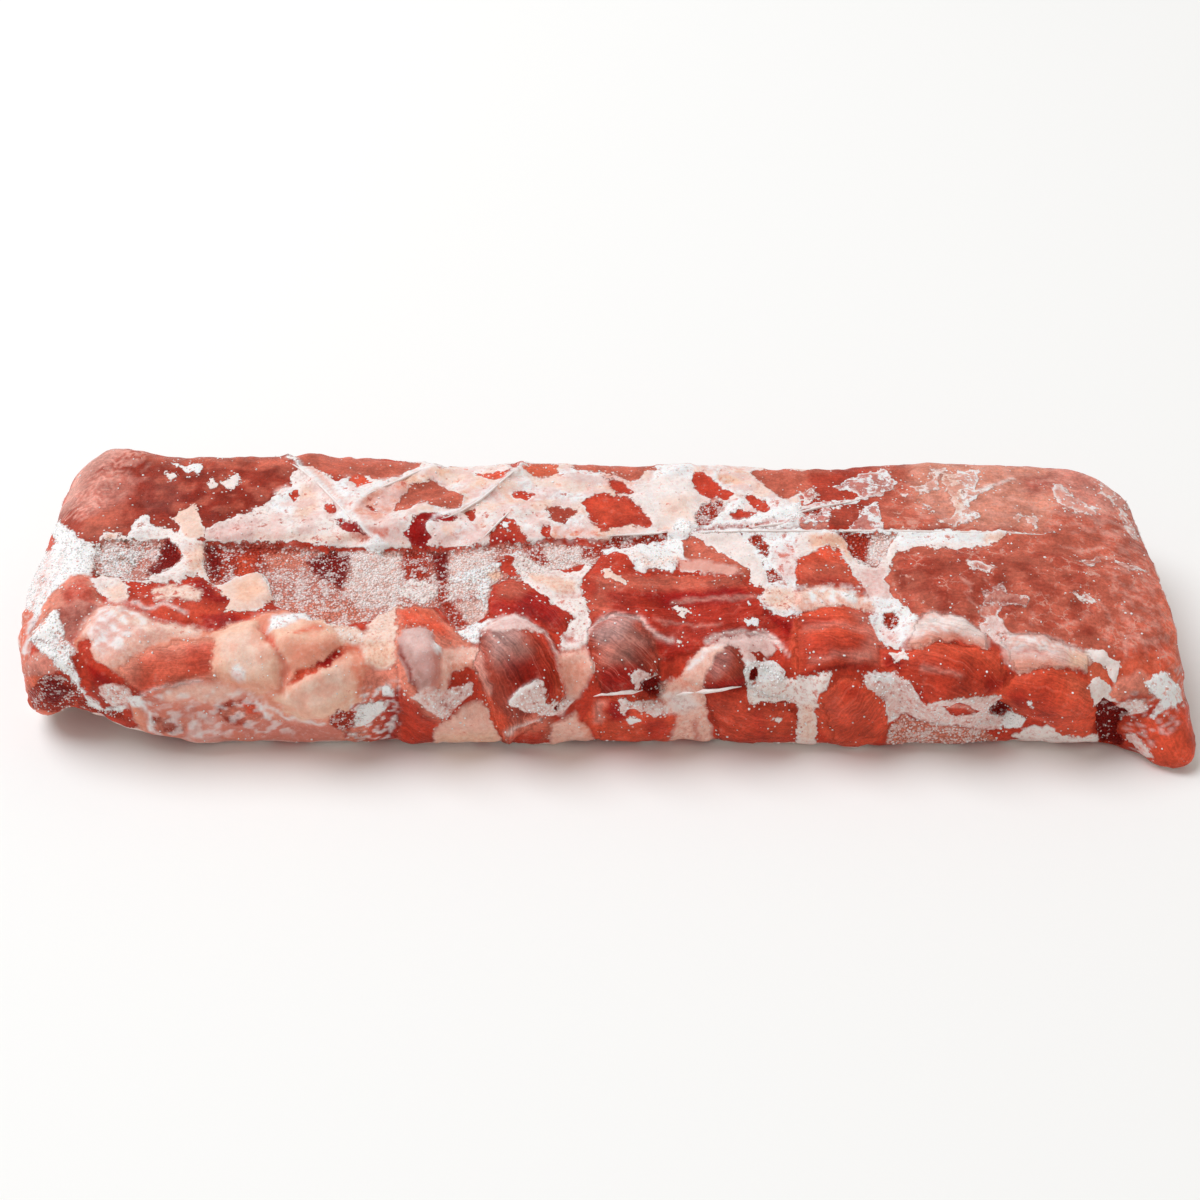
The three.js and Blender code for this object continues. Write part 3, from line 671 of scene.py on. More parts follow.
paint(
    dark_foot_of_spade=(tint, DEEP, [(488, 543), (494, 536), (512, 536), (522, 543)], 1, 0.7),
    bright_middle_tear=(tint, SCARLET, [(588, 500), (624, 500), (640, 516), (600, 524)], 2, 0.6),
    fibres_of_big_heart=(run_fibres, (520, 760), [(392, 512), (411, 486), (432, 480), (463, 496), (462, 510),
        (422, 502)], 0.5),
    flake_in_spade=(cover, SNOW, [(501, 520), (508, 522), (510, 531), (503, 529)]),
    flake_on_first_fold=(cover, SNOW, [(337, 513), (346, 513), (350, 521), (341, 523)], 0.8),
    frost_at_far_edge=(cover, SNOW, [(652, 480), (656, 464), (692, 464), (692, 482), (690, 488), (670, 484)],
        0.4, 1, 0.5, 0.15, 0.3),
    second_layer_of_skin=(cover, FILM, [(629, 496), (640, 485), (665, 478), (690, 480), (700, 500),
        (692, 524), (670, 524), (655, 526), (643, 508)], 0.3, 1, 0.2, 0.2, 0.2),
    frost_on_second_layer=(wash, SNOW, [(640, 500), (660, 486), (690, 486), (688, 510), (660, 516)], 2,
        0.25),
    peach_on_second_layer=(wash, PEACH, [(660, 500), (690, 496), (690, 520), (664, 520)], 2.5, 0.5),
    far_crumb=(cover, SNOW, [(711, 476), (717, 472), (717, 480), (713, 484)], 0.8),
    clot_in_skin=(sawn, CLOT, [(695, 521), (700, 506), (712, 500), (726, 504), (716, 521), (698, 527)], -1, 2,
        0.5),
    frost_beside_clot=(cover, SNOW, [(712, 521), (722, 512), (738, 501), (747, 499), (742, 508), (726, 517),
        (716, 524)], 0.6, 1.2, 0.6),
    frost_bar=(cover, SNOW, [(752, 527), (775, 516), (800, 511), (806, 520), (780, 528)], 0.5, 1.2, 0.7),
    long_frost_bar=(cover, SNOW, [(686, 529), (716, 524), (746, 519), (772, 511), (800, 504), (800, 512),
        (770, 522), (744, 527), (700, 532)], 0.7, 1.2, 0.6, 0.2, 0.2),
    frost_knot_on_crease=(cover, SNOW, [(672, 530), (676, 523), (682, 520), (690, 524), (696, 530),
        (684, 536)], 0.9, 1.2, 0.8, 0.2, 0.1),
    white_first_fold=(streak, SNOW, [(283, 452), (300, 465), (320, 483), (336, 500), (360, 524), (378, 540)],
        0.7, 1),
    white_second_fold=(streak, SNOW, [(442, 466), (412, 473), (384, 485), (362, 496), (352, 511)]),
    white_third_fold=(streak, SNOW, [(430, 520), (462, 509), (482, 498), (500, 482), (522, 466)]),
    white_line_on_bar=(streak, SNOW, [(690, 526), (745, 521), (800, 510)], 0.8),
    red_line_under_bar=(streak, RED, [(694, 530), (745, 526), (800, 519)], 0.6),
)

# Frozen flakes of skin left on the loin, at the right of the far side. Its lean is finely marbled with fat.
loin_flakes = {
    "first": (FILM, [(800, 492), (815, 488), (818, 496), (804, 506)]),
    "long": (SNOW, [(833, 487), (855, 477), (884, 470), (899, 484), (882, 496), (862, 501), (854, 491),
                    (842, 492)]),
    "ridge": (SNOW, [(800, 508), (818, 502), (850, 499), (890, 489), (880, 496), (850, 505), (820, 508)]),
    "marrow rim": (SNOW, [(800, 506), (832, 506), (832, 520), (800, 528)]),
    "triangle": (SNOW, [(845, 530), (860, 516), (864, 507), (877, 501), (881, 520), (885, 531)]),
    "small bar": (FILM, [(898, 494), (910, 492), (904, 497)]),
    "arrow": (FILM, [(908, 487), (922, 486), (934, 478), (928, 472), (946, 468), (938, 480), (939, 488),
                     (922, 496)]),
    "wishbone left": (CREAM, [(940, 478), (956, 473), (966, 476), (962, 500), (968, 512), (955, 527),
                              (944, 522), (956, 512), (950, 498), (945, 487)]),
    "wishbone right": (SNOW, [(958, 471), (980, 470), (974, 492), (997, 485), (976, 497), (969, 508),
                              (982, 516), (972, 522), (958, 526), (964, 508), (963, 488)]),
    "under the wishbone": (FILM, [(917, 502), (933, 507), (936, 512), (925, 508)]),
    "left foot": (FILM, [(934, 519), (950, 519), (960, 512), (955, 524), (940, 523)]),
    "star": (FILM, [(1014, 518), (1018, 514), (1022, 519), (1018, 522)]),
    "second star": (FILM, [(1023, 517), (1038, 519), (1037, 528), (1029, 523)]),
}
for colour, outline in loin_flakes.values():
    cover(colour, outline, 0.35, 0.8, 0.45, 0.15, 0.8)
loin_lace = {
    "far lace": [(1051, 488), (1060, 484), (1075, 498), (1098, 511), (1092, 517), (1066, 509), (1056, 499)],
    "corner": [(1100, 483), (1120, 489), (1132, 502), (1128, 512), (1114, 503), (1099, 493)],
    "cluster": [(978, 612), (984, 598), (996, 586), (1004, 580), (1006, 592), (1030, 598), (1028, 606),
                (1004, 606), (996, 620), (984, 620)],
    "low bar": [(1070, 594), (1088, 594), (1099, 602), (1083, 601)],
    "vein": [(1075, 560), (1090, 561), (1098, 554), (1103, 558), (1090, 566)],
    "long vein": [(1109, 558), (1134, 567), (1149, 571), (1130, 571)],
    "left vein": [(963, 560), (978, 561), (1000, 567), (988, 572), (972, 568)],
    "low vein": [(976, 590), (1000, 592), (990, 596)],
    "rim": [(1118, 505), (1130, 520), (1138, 540), (1130, 534), (1120, 518)],
}
for outline in loin_lace.values():
    cover(FILM, outline, 0.15, 0.8, 0.5, 0.2, 1.1)
veins = {
    "left": [(960, 575), (972, 585), (968, 598), (980, 606)],
    "second": [(985, 580), (1000, 590), (996, 604), (1010, 612)],
    "middle": [(1100, 600), (1112, 622), (1105, 640)],
    "ring": [(1124, 640), (1135, 634), (1146, 642), (1147, 656), (1142, 664)],
    "ring left": [(1124, 640), (1127, 655), (1121, 666)],
    "upper": [(1060, 545), (1082, 552), (1104, 548)],
    "right": [(1112, 572), (1126, 590), (1122, 612)],
    "low": [(1033, 606), (1031, 624)],
    "branch": [(1060, 626), (1077, 620), (1092, 612)],
}
for line in veins.values():
    streak(BLUSH, line, 0.5, 0.55)
paint(
    wishbone_tail=(streak, FILM, [(975, 492), (998, 484), (1012, 478)], 0.5),
    fine_marbling=(marble, [(870, 430), (1220, 430), (1220, 640), (1150, 670), (1090, 655), (985, 625),
        (893, 600), (895, 552), (885, 500)], 1),
    brown_blots=(dapple, BRICK, [(893, 548), (1080, 548), (1100, 640), (900, 610)], 12, 49, 0.2, 0.7),
    pale_blots_at_far_side=(dapple, BLUSH, [(905, 440), (1140, 440), (1150, 540), (905, 528)], 5, 50, 0.5,
        0.35),
    dark_blots=(dapple, MAROON, [(893, 560), (1100, 560), (1100, 640), (900, 600)], 8, 51, 0.7, 0.4),
    pale_blots_at_right=(dapple, BLUSH, [(1090, 500), (1180, 520), (1190, 700), (1120, 640)], 3.6, 52, 0.45,
        0.4),
    clot_under_bar=(sawn, CLOT, [(802, 509), (822, 509), (822, 515), (804, 516)], -0.4, 1, 0.4),
    lean_by_triangle=(bare, BRICK, [(833, 510), (845, 511), (862, 508), (852, 524), (835, 525), (828, 520)]),
    rosy_slit=(bare, ROSE, [(800, 523), (826, 523), (826, 529), (800, 529)], 0, 1, 0.2, 0.4),
)

# Below the crease the near half of the top is rougher: rib bone planed open, red marrow, pulp and ice.
paint(
    whole_bed=(sawn, PULP, [(203, 544), (262, 544), (325, 549), (400, 549), (450, 549), (500, 543),
        (550, 541), (604, 545), (600, 560), (585, 565), (555, 570), (520, 580), (492, 590), (490, 612),
        (470, 625), (455, 628), (440, 608), (400, 606), (372, 620), (335, 628), (300, 616), (275, 606),
        (262, 575), (238, 577), (214, 587), (205, 570)], -0.9, 3, 0.65),
    red_left_part=(steep, CLOT, [(232, 544), (300, 544), (306, 562), (280, 578), (262, 576), (240, 574)], 1.5,
        0.35),
    scarlet_spot=(steep, SCARLET, [(236, 554), (254, 554), (252, 574), (234, 576)], 1.2, 0.2),
    coral_part=(steep, CORAL, [(262, 550), (304, 548), (306, 566), (270, 572)], 1.5, 0.45),
    clot_at_left_end=(steep, CLOT, [(207, 545), (222, 542), (236, 552), (238, 568), (230, 582), (212, 582),
        (203, 565)], 1, 0.55),
    marrow_at_left_end=(steep, MARROW, [(207, 546), (216, 544), (222, 560), (218, 578), (208, 570)], 1.2,
        0.4),
    small_scarlet_spot=(steep, SCARLET, [(266, 580), (292, 578), (292, 588), (270, 588)], 1, 0.2),
    marrow_in_middle=(steep, MARROW, [(306, 558), (325, 548), (350, 550), (352, 562), (342, 588), (325, 580),
        (308, 568)], 1.2, 0.52),
    iced_part=(steep, RIME, [(352, 550), (400, 549), (404, 580), (398, 604), (360, 612), (348, 590)], 2,
        0.95),
    pulp_below=(steep, PULP, [(262, 568), (306, 566), (330, 592), (350, 604), (300, 612), (274, 600)], 2,
        0.7),
    coral_foot=(steep, CORAL, [(276, 600), (330, 602), (352, 612), (336, 628), (298, 616)], 2, 0.62),
    coral_foot_at_right=(steep, CORAL, [(330, 600), (372, 606), (368, 622), (336, 628)], 2, 0.6),
    clot=(steep, CLOT, [(402, 548), (430, 548), (430, 578), (402, 580)], 1.5, 0.5),
    marrow_at_right=(steep, MARROW, [(430, 550), (449, 548), (450, 570), (445, 582), (436, 578)], 1, 0.3),
    second_iced_part=(steep, RIME, [(450, 552), (494, 548), (490, 612), (470, 622), (448, 606)], 1.5, 0.95),
    clot_between_iced_parts=(steep, CLOT, [(436, 580), (448, 580), (448, 606), (468, 618), (456, 626),
        (438, 612)], 0.8, 0.45),
    clot_at_foot=(steep, CLOT, [(452, 596), (478, 592), (480, 606), (464, 616), (452, 608)], 1.5, 0.6),
    third_iced_part=(steep, RIME, [(545, 542), (592, 545), (590, 562), (556, 572), (545, 566)], 1.5, 0.95),
    clot_left_of_it=(steep, CLOT, [(525, 543), (541, 543), (550, 562), (538, 562), (528, 552)], 0.8, 0.55),
    clot_right_of_it=(steep, CLOT, [(580, 541), (604, 543), (604, 556), (582, 556)], 0.8, 0.55),
)
crease = [(204, 542), (325, 548), (362, 546), (400, 548), (450, 548), (500, 542), (550, 539), (604, 538),
          (690, 534)]
below = depth_inside(crease + [(690, 552), (204, 562)])
lift -= 1.3 * steps(below, 0.0, 0.8) * (1 - steps(distance_from(crease), 1.0, 5.0))
paint(
    frost_on_crease=(cover, SNOW, [(360, 547), (375, 540), (388, 546), (385, 550), (370, 551)], 0.4, 0.8,
        0.4),
    skin_over_bone=(cover, FILM, [(396, 588), (412, 577), (440, 584), (434, 598), (420, 601), (404, 596)],
        0.5, 2, 0.35, 0.4, 0.2),
    frost_bridge=(cover, SNOW, [(450, 575), (490, 562), (520, 547), (522, 552), (492, 572), (484, 612),
        (476, 612), (478, 580), (452, 582)], 0.6, 1.5, 0.55, 0.4),
    cream_flap=(cover, CREAM, [(214, 587), (233, 580), (256, 570), (268, 578), (271, 590), (274, 600),
        (255, 612), (226, 612), (230, 599)], 0.9, 2.5, 0.1, 0.15, 0.05),
    peach_in_flap=(wash, PEACH, [(236, 586), (256, 578), (264, 592), (250, 604), (236, 602)], 1.2),
    white_rim_of_flap=(streak, SNOW, [(216, 586), (236, 579), (257, 569), (267, 578), (274, 596)], 0.8, 0.9),
)

# The windows of lean in the middle of the near half, and the main muscle over ribs three to six.
paint(
    small_window=(bare, RED, [(495, 560), (508, 553), (516, 555), (510, 564), (523, 565), (518, 575),
        (509, 576), (499, 568)], 0.4, 2),
    peach_chip=(cover, PEACH, [(489, 573), (497, 568), (503, 573), (494, 581)], 0.3, 1, 0.1, 0.4),
    left_window=(bare, RED, [(491, 586), (512, 577), (530, 587), (556, 606), (574, 617), (562, 632),
        (543, 626), (520, 615), (488, 614)], 1.2, 5),
    dark_right_part_of_window=(tint, DEEP, [(520, 596), (536, 594), (560, 610), (560, 628), (540, 622),
        (516, 612)], 2, 0.9),
    deeper_window=(tint, DEEP, [(491, 580), (520, 580), (572, 617), (562, 632), (490, 614)], 3, 0.35),
    dark_foot_of_window=(tint, DEEP, [(492, 604), (520, 606), (520, 614), (490, 614)], 1.2, 0.6),
    pale_top_of_window=(tint, LOIN, [(496, 586), (512, 580), (530, 590), (520, 600), (498, 600)], 2, 0.7),
    fibres_of_window=(run_fibres, (470, 700), [(491, 586), (512, 577), (556, 606), (574, 617), (562, 632),
        (488, 614)], 0.9),
    skin_beside_window=(cover, FILM, [(512, 562), (520, 552), (540, 564), (570, 575), (592, 562), (584, 590),
        (590, 618), (574, 617), (556, 606), (530, 587), (520, 576)], 0.7, 2, 0.3, 0.2, 0.2),
    peach_in_skin=(wash, PEACH, [(528, 572), (556, 578), (576, 584), (574, 598), (552, 590), (532, 582)], 1,
        0.8),
    lilac_in_skin=(wash, LILAC, [(556, 596), (586, 592), (588, 614), (572, 614)], 1),
    main_muscle=(bare, RED, [(581, 586), (588, 572), (600, 556), (618, 552), (629, 560), (636, 573),
        (655, 577), (680, 574), (700, 577), (735, 575), (757, 592), (762, 606), (772, 618), (800, 640),
        (800, 662), (776, 652), (765, 638), (705, 640), (700, 652), (655, 664), (635, 620), (612, 616),
        (588, 624)], 1.2, 6, 0.15),
    red_of_main_muscle=(tint, RED, [(586, 586), (640, 584), (660, 610), (740, 606), (790, 640), (700, 640),
        (652, 650), (620, 612), (588, 618)], 3, 0.8),
    deeper_main_muscle=(tint, DEEP, [(600, 590), (760, 592), (800, 645), (700, 645), (610, 618)], 3, 0.35),
    # A deep red band under the bulging upper lobe of the main muscle is painted shade.
    dark_band=(tint, DEEP, [(640, 596), (690, 594), (742, 588), (752, 598), (720, 606), (660, 610)]),
    dark_right_end=(tint, DEEP, [(764, 612), (792, 621), (802, 640), (800, 652), (782, 632)], 1.5, 0.9),
    darkest_spot=(tint, MAROON, [(640, 600), (662, 600), (662, 618), (646, 618)], 2, 0.6),
    pale_left_end=(tint, LOIN, [(588, 600), (606, 592), (612, 612), (592, 618)], 2, 0.6),
    pale_top=(tint, LOIN, [(592, 578), (650, 578), (735, 576), (745, 586), (700, 592), (600, 592)], 2, 0.8),
    dark_foot=(tint, DEEP, [(650, 640), (690, 644), (700, 650), (662, 664)], 1.5, 0.6),
    fibres_of_main_muscle=(run_fibres, (660, 380), [(581, 586), (603, 553), (629, 560), (655, 577),
        (735, 575), (762, 606), (800, 640), (765, 638), (655, 660), (635, 620), (588, 622)], 0.8),
    pale_sinew=(streak, BLUSH, [(672, 604), (700, 602), (730, 600), (758, 597)], 0.7, 0.55),
    second_sinew=(streak, BLUSH, [(655, 622), (690, 628), (720, 626)], 0.6, 0.4),
    sinew_at_right_end=(streak, FILM, [(762, 632), (776, 640), (788, 656)], 0.6, 0.6),
    cream_chip=(cover, CREAM, [(600, 570), (612, 574), (627, 584), (626, 590), (608, 580)], 0.3, 0.8, 0.1,
        0.15, 0.4),
    flake_on_muscle=(cover, FILM, [(671, 608), (684, 611), (691, 616), (684, 618), (674, 613)], 0.3, 0.8, 0.1,
        0.15, 0.3),
    lower_flake=(cover, FILM, [(675, 640), (685, 641), (680, 645)]),
    crumb=(cover, SNOW, [(746, 603), (752, 603), (751, 610)]),
    second_crumb=(cover, SNOW, [(744, 620), (757, 622), (756, 629), (746, 628)]),
    third_crumb=(cover, FILM, [(751, 632), (759, 633), (757, 639)]),
    frost_above_muscle=(cover, SNOW, [(600, 548), (640, 534), (690, 534), (690, 562), (640, 572), (608, 556)],
        0.4, 1.5, 0.4, 0.2, 0.3),
    window_in_frost=(bare, RED, [(604, 556), (618, 552), (630, 560), (636, 573), (618, 576), (604, 570)], 0.5,
        2),
    clot_under_crease=(sawn, CLOT, [(602, 543), (612, 536), (640, 535), (668, 532), (664, 548), (650, 541),
        (630, 546), (604, 549)], -0.8, 1.5, 0.5),
    thick_frost=(cover, SNOW, [(632, 546), (645, 541), (672, 538), (690, 545), (684, 558), (672, 573),
        (632, 566), (630, 555)], 0.7, 2, 0.6, 0.3, 0.25),
    peach_under_frost=(streak, PEACH, [(632, 556), (650, 566), (676, 560)], 1.2, 0.5),
    leaf_of_lean=(bare, LOIN, [(682, 540), (690, 536), (710, 545), (740, 562), (752, 572), (744, 578),
        (728, 564), (700, 562), (684, 558)], 0.3, 2),
    fat_under_leaf=(fat, BLUSH, [(678, 562), (700, 560), (734, 567), (742, 575), (705, 574), (680, 571)], 0.3,
        1, 0.6),
    red_slit=(bare, RED, [(676, 571), (700, 572), (698, 575), (680, 575)]),
    skin_along_leaf=(cover, FILM, [(693, 535), (740, 532), (755, 550), (770, 580), (765, 592), (750, 583),
        (752, 572), (730, 559), (705, 543)], 0.5, 1.5),
    frost_right_of_leaf=(cover, SNOW, [(738, 531), (800, 531), (806, 600), (800, 618), (765, 612), (758, 600),
        (770, 580), (755, 552)], 0.5, 2, 0.4, 0.2, 0.35),
    lilac_in_frost=(wash, LILAC, [(774, 552), (798, 548), (798, 580), (780, 580)], 2, 0.8),
    peach_in_frost=(wash, PEACH, [(762, 590), (790, 588), (800, 604), (780, 612), (764, 604)], 1.5, 0.8),
    clot_in_frost=(sawn, CLOT, [(748, 540), (756, 536), (769, 545), (768, 560), (758, 550)], -0.8, 1.5, 0.4),
    second_clot=(sawn, CLOT, [(766, 571), (774, 568), (782, 579), (772, 585)], -0.6, 1.2, 0.4),
)

# The right half below the crease: a frosted band, the pit between two ribs, and the loin.
paint(
    frosted_band=(cover, FILM, [(798, 531), (1012, 532), (1000, 541), (984, 546), (955, 549), (925, 546),
        (896, 552), (890, 568), (884, 580), (893, 598), (905, 612), (869, 612), (862, 586), (843, 563),
        (838, 549), (812, 552), (798, 560)], 0.5, 1.5, 0.2, 0.15, 0.2),
    peach_in_band=(wash, PEACH, [(808, 538), (836, 533), (852, 545), (850, 560), (838, 550), (812, 552)],
        1.2),
    lilac_in_band=(wash, LILAC, [(858, 572), (884, 568), (892, 606), (868, 610)], 1.5),
    frost_on_band=(wash, SNOW, [(885, 532), (990, 533), (985, 543), (925, 544), (898, 548)], 0.8),
    peach_at_end_of_band=(wash, PEACH, [(985, 536), (1050, 536), (1020, 545), (985, 546)], 1.2, 0.7),
    pit_between_two_ribs=(sawn, CLOT, [(834, 532), (850, 531), (875, 533), (897, 535), (885, 555), (876, 568),
        (862, 564), (852, 558), (845, 540)], -1.6, 3, 0.35),
    iced_side_of_pit=(steep, RIME, [(872, 534), (898, 534), (886, 556), (878, 566), (868, 558)], 1, 0.9),
    muscle_above_fifth_knuckle=(bare, SCARLET, [(796, 560), (812, 552), (828, 547), (841, 554), (848, 568),
        (866, 590), (869, 600), (845, 590), (815, 585), (796, 590)], 0.8, 5, 0.1, 0.3),
    fibres_of_muscle=(run_fibres, (850, 500), [(798, 560), (828, 547), (841, 554), (869, 600), (798, 588)],
        0.6),
    pale_top_of_muscle=(tint, LOIN, [(800, 566), (840, 562), (862, 590), (840, 590), (800, 588)], 2, 0.6),
    dark_foot_of_muscle=(tint, DEEP, [(800, 578), (840, 578), (856, 590), (820, 586)], 1.5, 0.5),
    fat_below_it=(fat, TALLOW, [(796, 592), (815, 586), (845, 588), (872, 602), (870, 612), (830, 610),
        (796, 612)], 0.5, 3, 1.2, 0.3),
    cream_in_fat=(wash, CREAM, [(800, 590), (850, 592), (860, 600), (800, 600)], 1.2, 0.8),
    frost_on_fat=(dapple, SNOW, [(798, 588), (860, 588), (870, 604), (798, 604)], 2.6, 53, 0.3, 0.9),
    crumb_on_fat=(cover, SNOW, [(840, 592), (853, 596), (852, 601), (842, 599)], 0.2, 0.8, 0.8, 0.3),
    raised_crease=(ridge, [(690, 534), (742, 531), (800, 531), (960, 531), (1055, 535)], 0.7, 1.1),
    groove_behind_crease=(ridge, [(694, 530), (742, 528), (800, 528), (960, 528), (1050, 532)], -0.7, 1.1),
    white_crease=(cover, SNOW, [(690, 534), (742, 530), (800, 530), (960, 530), (1055, 534), (1000, 534),
        (800, 533), (742, 533)], 0, 0.8, 0.1, 0.2),
    # A maroon line along the groove behind the raised crease is painted shadow.
    red_line_in_groove=(streak, MAROON, [(694, 530), (742, 528), (800, 528), (960, 528), (1020, 530)], 0.5,
        0.6),
)

# The rib knuckles along the near side. Each is a rib end under its own little muscle, with fat between.
# The first is pale: its pearly rib end shows.
paint(
    muscle=(bare, CORAL, [(396, 612), (415, 605), (433, 611), (453, 630), (474, 645), (450, 650), (444, 690),
        (440, 750), (398, 750), (408, 700), (396, 660)], 1.4, 8, 0.1, 0.6),
    scarlet_top=(tint, SCARLET, [(400, 612), (420, 608), (440, 622), (452, 640), (430, 636), (402, 630)], 2,
        0.9),
    orange_rim=(tint, ORANGE, [(402, 606), (425, 608), (440, 620), (420, 622)], 1.5, 0.7),
    red_foot=(tint, RED, [(398, 690), (414, 700), (440, 720), (440, 745), (398, 745)]),
    fibres=(run_fibres, (500, 560), [(398, 612), (415, 605), (433, 611), (472, 645), (444, 690), (440, 740),
        (400, 740)], 0.8),
    pearly_rib_end=(fat, PEARL, [(398, 640), (410, 630), (428, 632), (440, 650), (440, 676), (436, 692),
        (424, 694), (410, 680), (400, 660)], 1.3, 7, 0.6, 0.1),
    # The lilac wash on the top left of the rib end is a painted highlight.
    lilac_top_of_rib_end=(wash, LILAC, [(402, 640), (412, 632), (428, 636), (430, 652), (412, 660)], 2.5,
        0.9),
    rosy_right_side=(wash, ROSE, [(432, 650), (441, 650), (440, 690), (430, 690)], 1.2, 0.7),
    dark_line=(streak, MAROON, [(400, 650), (408, 668), (418, 690)], 0.8, 0.9),
    slate_line=(streak, SLATE, [(408, 648), (416, 668), (424, 688)], 0.8, 0.6),
    crumb=(cover, SNOW, [(434, 645), (440, 646), (440, 655), (435, 655)]),
    iced_bone=(sawn, RIME, [(440, 602), (482, 598), (484, 612), (470, 628), (456, 628), (444, 612)], -0.3, 2,
        0.7),
    clot_in_iced_bone=(steep, CLOT, [(440, 600), (452, 600), (470, 624), (456, 628), (442, 612)], 1, 0.4),
    frost_below_bone=(cover, SNOW, [(456, 630), (480, 622), (502, 616), (484, 630), (478, 645), (466, 640)],
        0.5, 1.5, 0.6, 0.4),
    valley_fat=(fat, TALLOW, [(441, 652), (472, 646), (484, 656), (484, 672), (466, 668), (450, 676),
        (446, 698), (440, 690)], 0.4, 3, 1, 0.2),
    salmon_foot_of_valley=(wash, SALMON, [(446, 664), (480, 660), (482, 672), (452, 676)], 1.5, 0.7),
    lean_in_valley=(bare, RED, [(452, 674), (466, 668), (470, 678), (461, 690), (454, 686)], 0.2, 1, 0.1,
        0.4),
    torn_skin=(cover, LILAC, [(410, 696), (427, 688), (445, 690), (472, 682), (472, 694), (452, 710),
        (446, 719), (430, 708)], 0.5, 1.5, 0.6, 0.3, 0.3),
    slit_in_skin=(streak, MAROON, [(440, 700), (450, 708)], 0.7, 0.7),
    low_lump=(fat, TALLOW, [(434, 755), (434, 730), (450, 716), (478, 698), (492, 714), (506, 755)], 0.8, 5,
        0.9, 0.15),
    peach_foot_of_lump=(wash, PEACH, [(440, 732), (498, 732), (504, 752), (436, 752)], 2),
)

# The second knuckle: brown meat under a painted slate sheen, a cap of skin, and fat in the valley at its
# right.
paint(
    muscle=(bare, BRICK, [(482, 634), (500, 622), (526, 622), (548, 634), (566, 668), (570, 690), (560, 702),
        (545, 712), (505, 745), (490, 715), (476, 664)], 2.2, 11, 0.1, 0.5),
    # A painted slate sheen on the top, and a painted highlight on the upper left rim.
    slate_top=(tint, SLATE, [(484, 640), (512, 630), (530, 652), (520, 674), (496, 668)], 3, 0.7),
    pearly_rim=(tint, PEARL, [(486, 634), (510, 622), (520, 640), (500, 656)], 2.5, 0.7),
    red_right_side=(tint, RED, [(532, 630), (552, 636), (568, 670), (566, 698), (548, 706), (530, 690),
        (540, 664)]),
    # Deep and darker red in the lower middle: partly the meat's own colour, partly painted shade.
    deep_red_middle=(tint, DEEP, [(506, 664), (534, 660), (548, 690), (540, 702), (516, 690)], 4, 0.85),
    dark_middle=(tint, MAROON, [(500, 668), (530, 664), (540, 690), (516, 690)], 4, 0.5),
    scarlet_corner=(tint, SCARLET, [(552, 676), (566, 672), (572, 692), (556, 706)], 1.2, 0.8),
    scarlet_left_side=(tint, SCARLET, [(476, 664), (490, 690), (510, 712), (514, 726), (498, 745),
        (486, 715)], 1.5),
    pale_left_edge=(tint, BLUSH, [(478, 644), (486, 664), (496, 690), (490, 696), (476, 670)], 1, 0.7),
    fibres=(run_fibres, (430, 720), [(482, 634), (500, 622), (548, 634), (566, 668), (560, 702), (505, 745),
        (476, 664)], 1.2),
    cap_of_skin=(fat, LILAC, [(482, 632), (498, 618), (516, 614), (534, 624), (542, 636), (524, 632),
        (500, 634)], 0.5, 3, 0.8, 0.2),
    white_rim=(streak, FILM, [(486, 630), (504, 619), (524, 618), (544, 634), (556, 654)], 0.7, 0.6),
    skin_beside_it=(cover, FILM, [(556, 600), (586, 600), (590, 622), (591, 642), (580, 650), (562, 652),
        (559, 636), (575, 619)], 0.6, 2, 0.4, 0.2, 0.25),
    red_scratch=(streak, RED, [(562, 634), (576, 642)], 0.9, 0.7),
    second_scratch=(streak, RED, [(566, 642), (572, 632)], 0.7, 0.6),
    valley_fat=(fat, TALLOW, [(556, 655), (585, 648), (596, 668), (580, 696), (568, 700), (560, 676)], 0.3, 4,
        1.5, 0.15),
    salmon_in_valley=(wash, SALMON, [(556, 660), (585, 660), (592, 680), (574, 694), (562, 680)], 2, 0.6),
    torn_skin=(cover, LILAC, [(511, 698), (520, 688), (536, 680), (552, 700), (576, 698), (562, 716),
        (535, 712), (520, 706)], 0.6, 1.5, 0.7, 0.2, 0.3),
    white_rim_of_skin=(streak, SNOW, [(513, 697), (522, 689), (536, 682)], 0.8),
    hole_in_skin=(bare, CLOT, [(541, 690), (550, 697), (552, 704), (543, 702)], -0.5, 1, 0.4),
    drop_of_marrow=(sawn, MARROW, [(552, 704), (559, 703), (559, 711), (553, 711)], -0.6, 1, 0.2),
    lean_at_foot=(bare, LOIN, [(504, 728), (518, 716), (545, 713), (556, 722), (548, 736), (508, 744)], 0.6,
        4, 0.3, 0.5),
    red_foot=(tint, RED, [(510, 734), (545, 730), (540, 744), (506, 746)], 1.5),
    white_line_at_foot=(streak, FILM, [(508, 730), (520, 720), (540, 718)], 0.8, 0.6),
    low_lump=(fat, TALLOW, [(550, 755), (552, 726), (575, 712), (588, 728), (606, 755)], 0.5, 3, 1, 0.2),
    salmon_of_lump=(wash, SALMON, [(574, 698), (594, 698), (600, 730), (586, 736), (576, 716)], 1.5, 0.9),
    red_line_down_lump=(streak, RED, [(584, 704), (588, 720), (594, 732)], 0.8, 0.7),
)

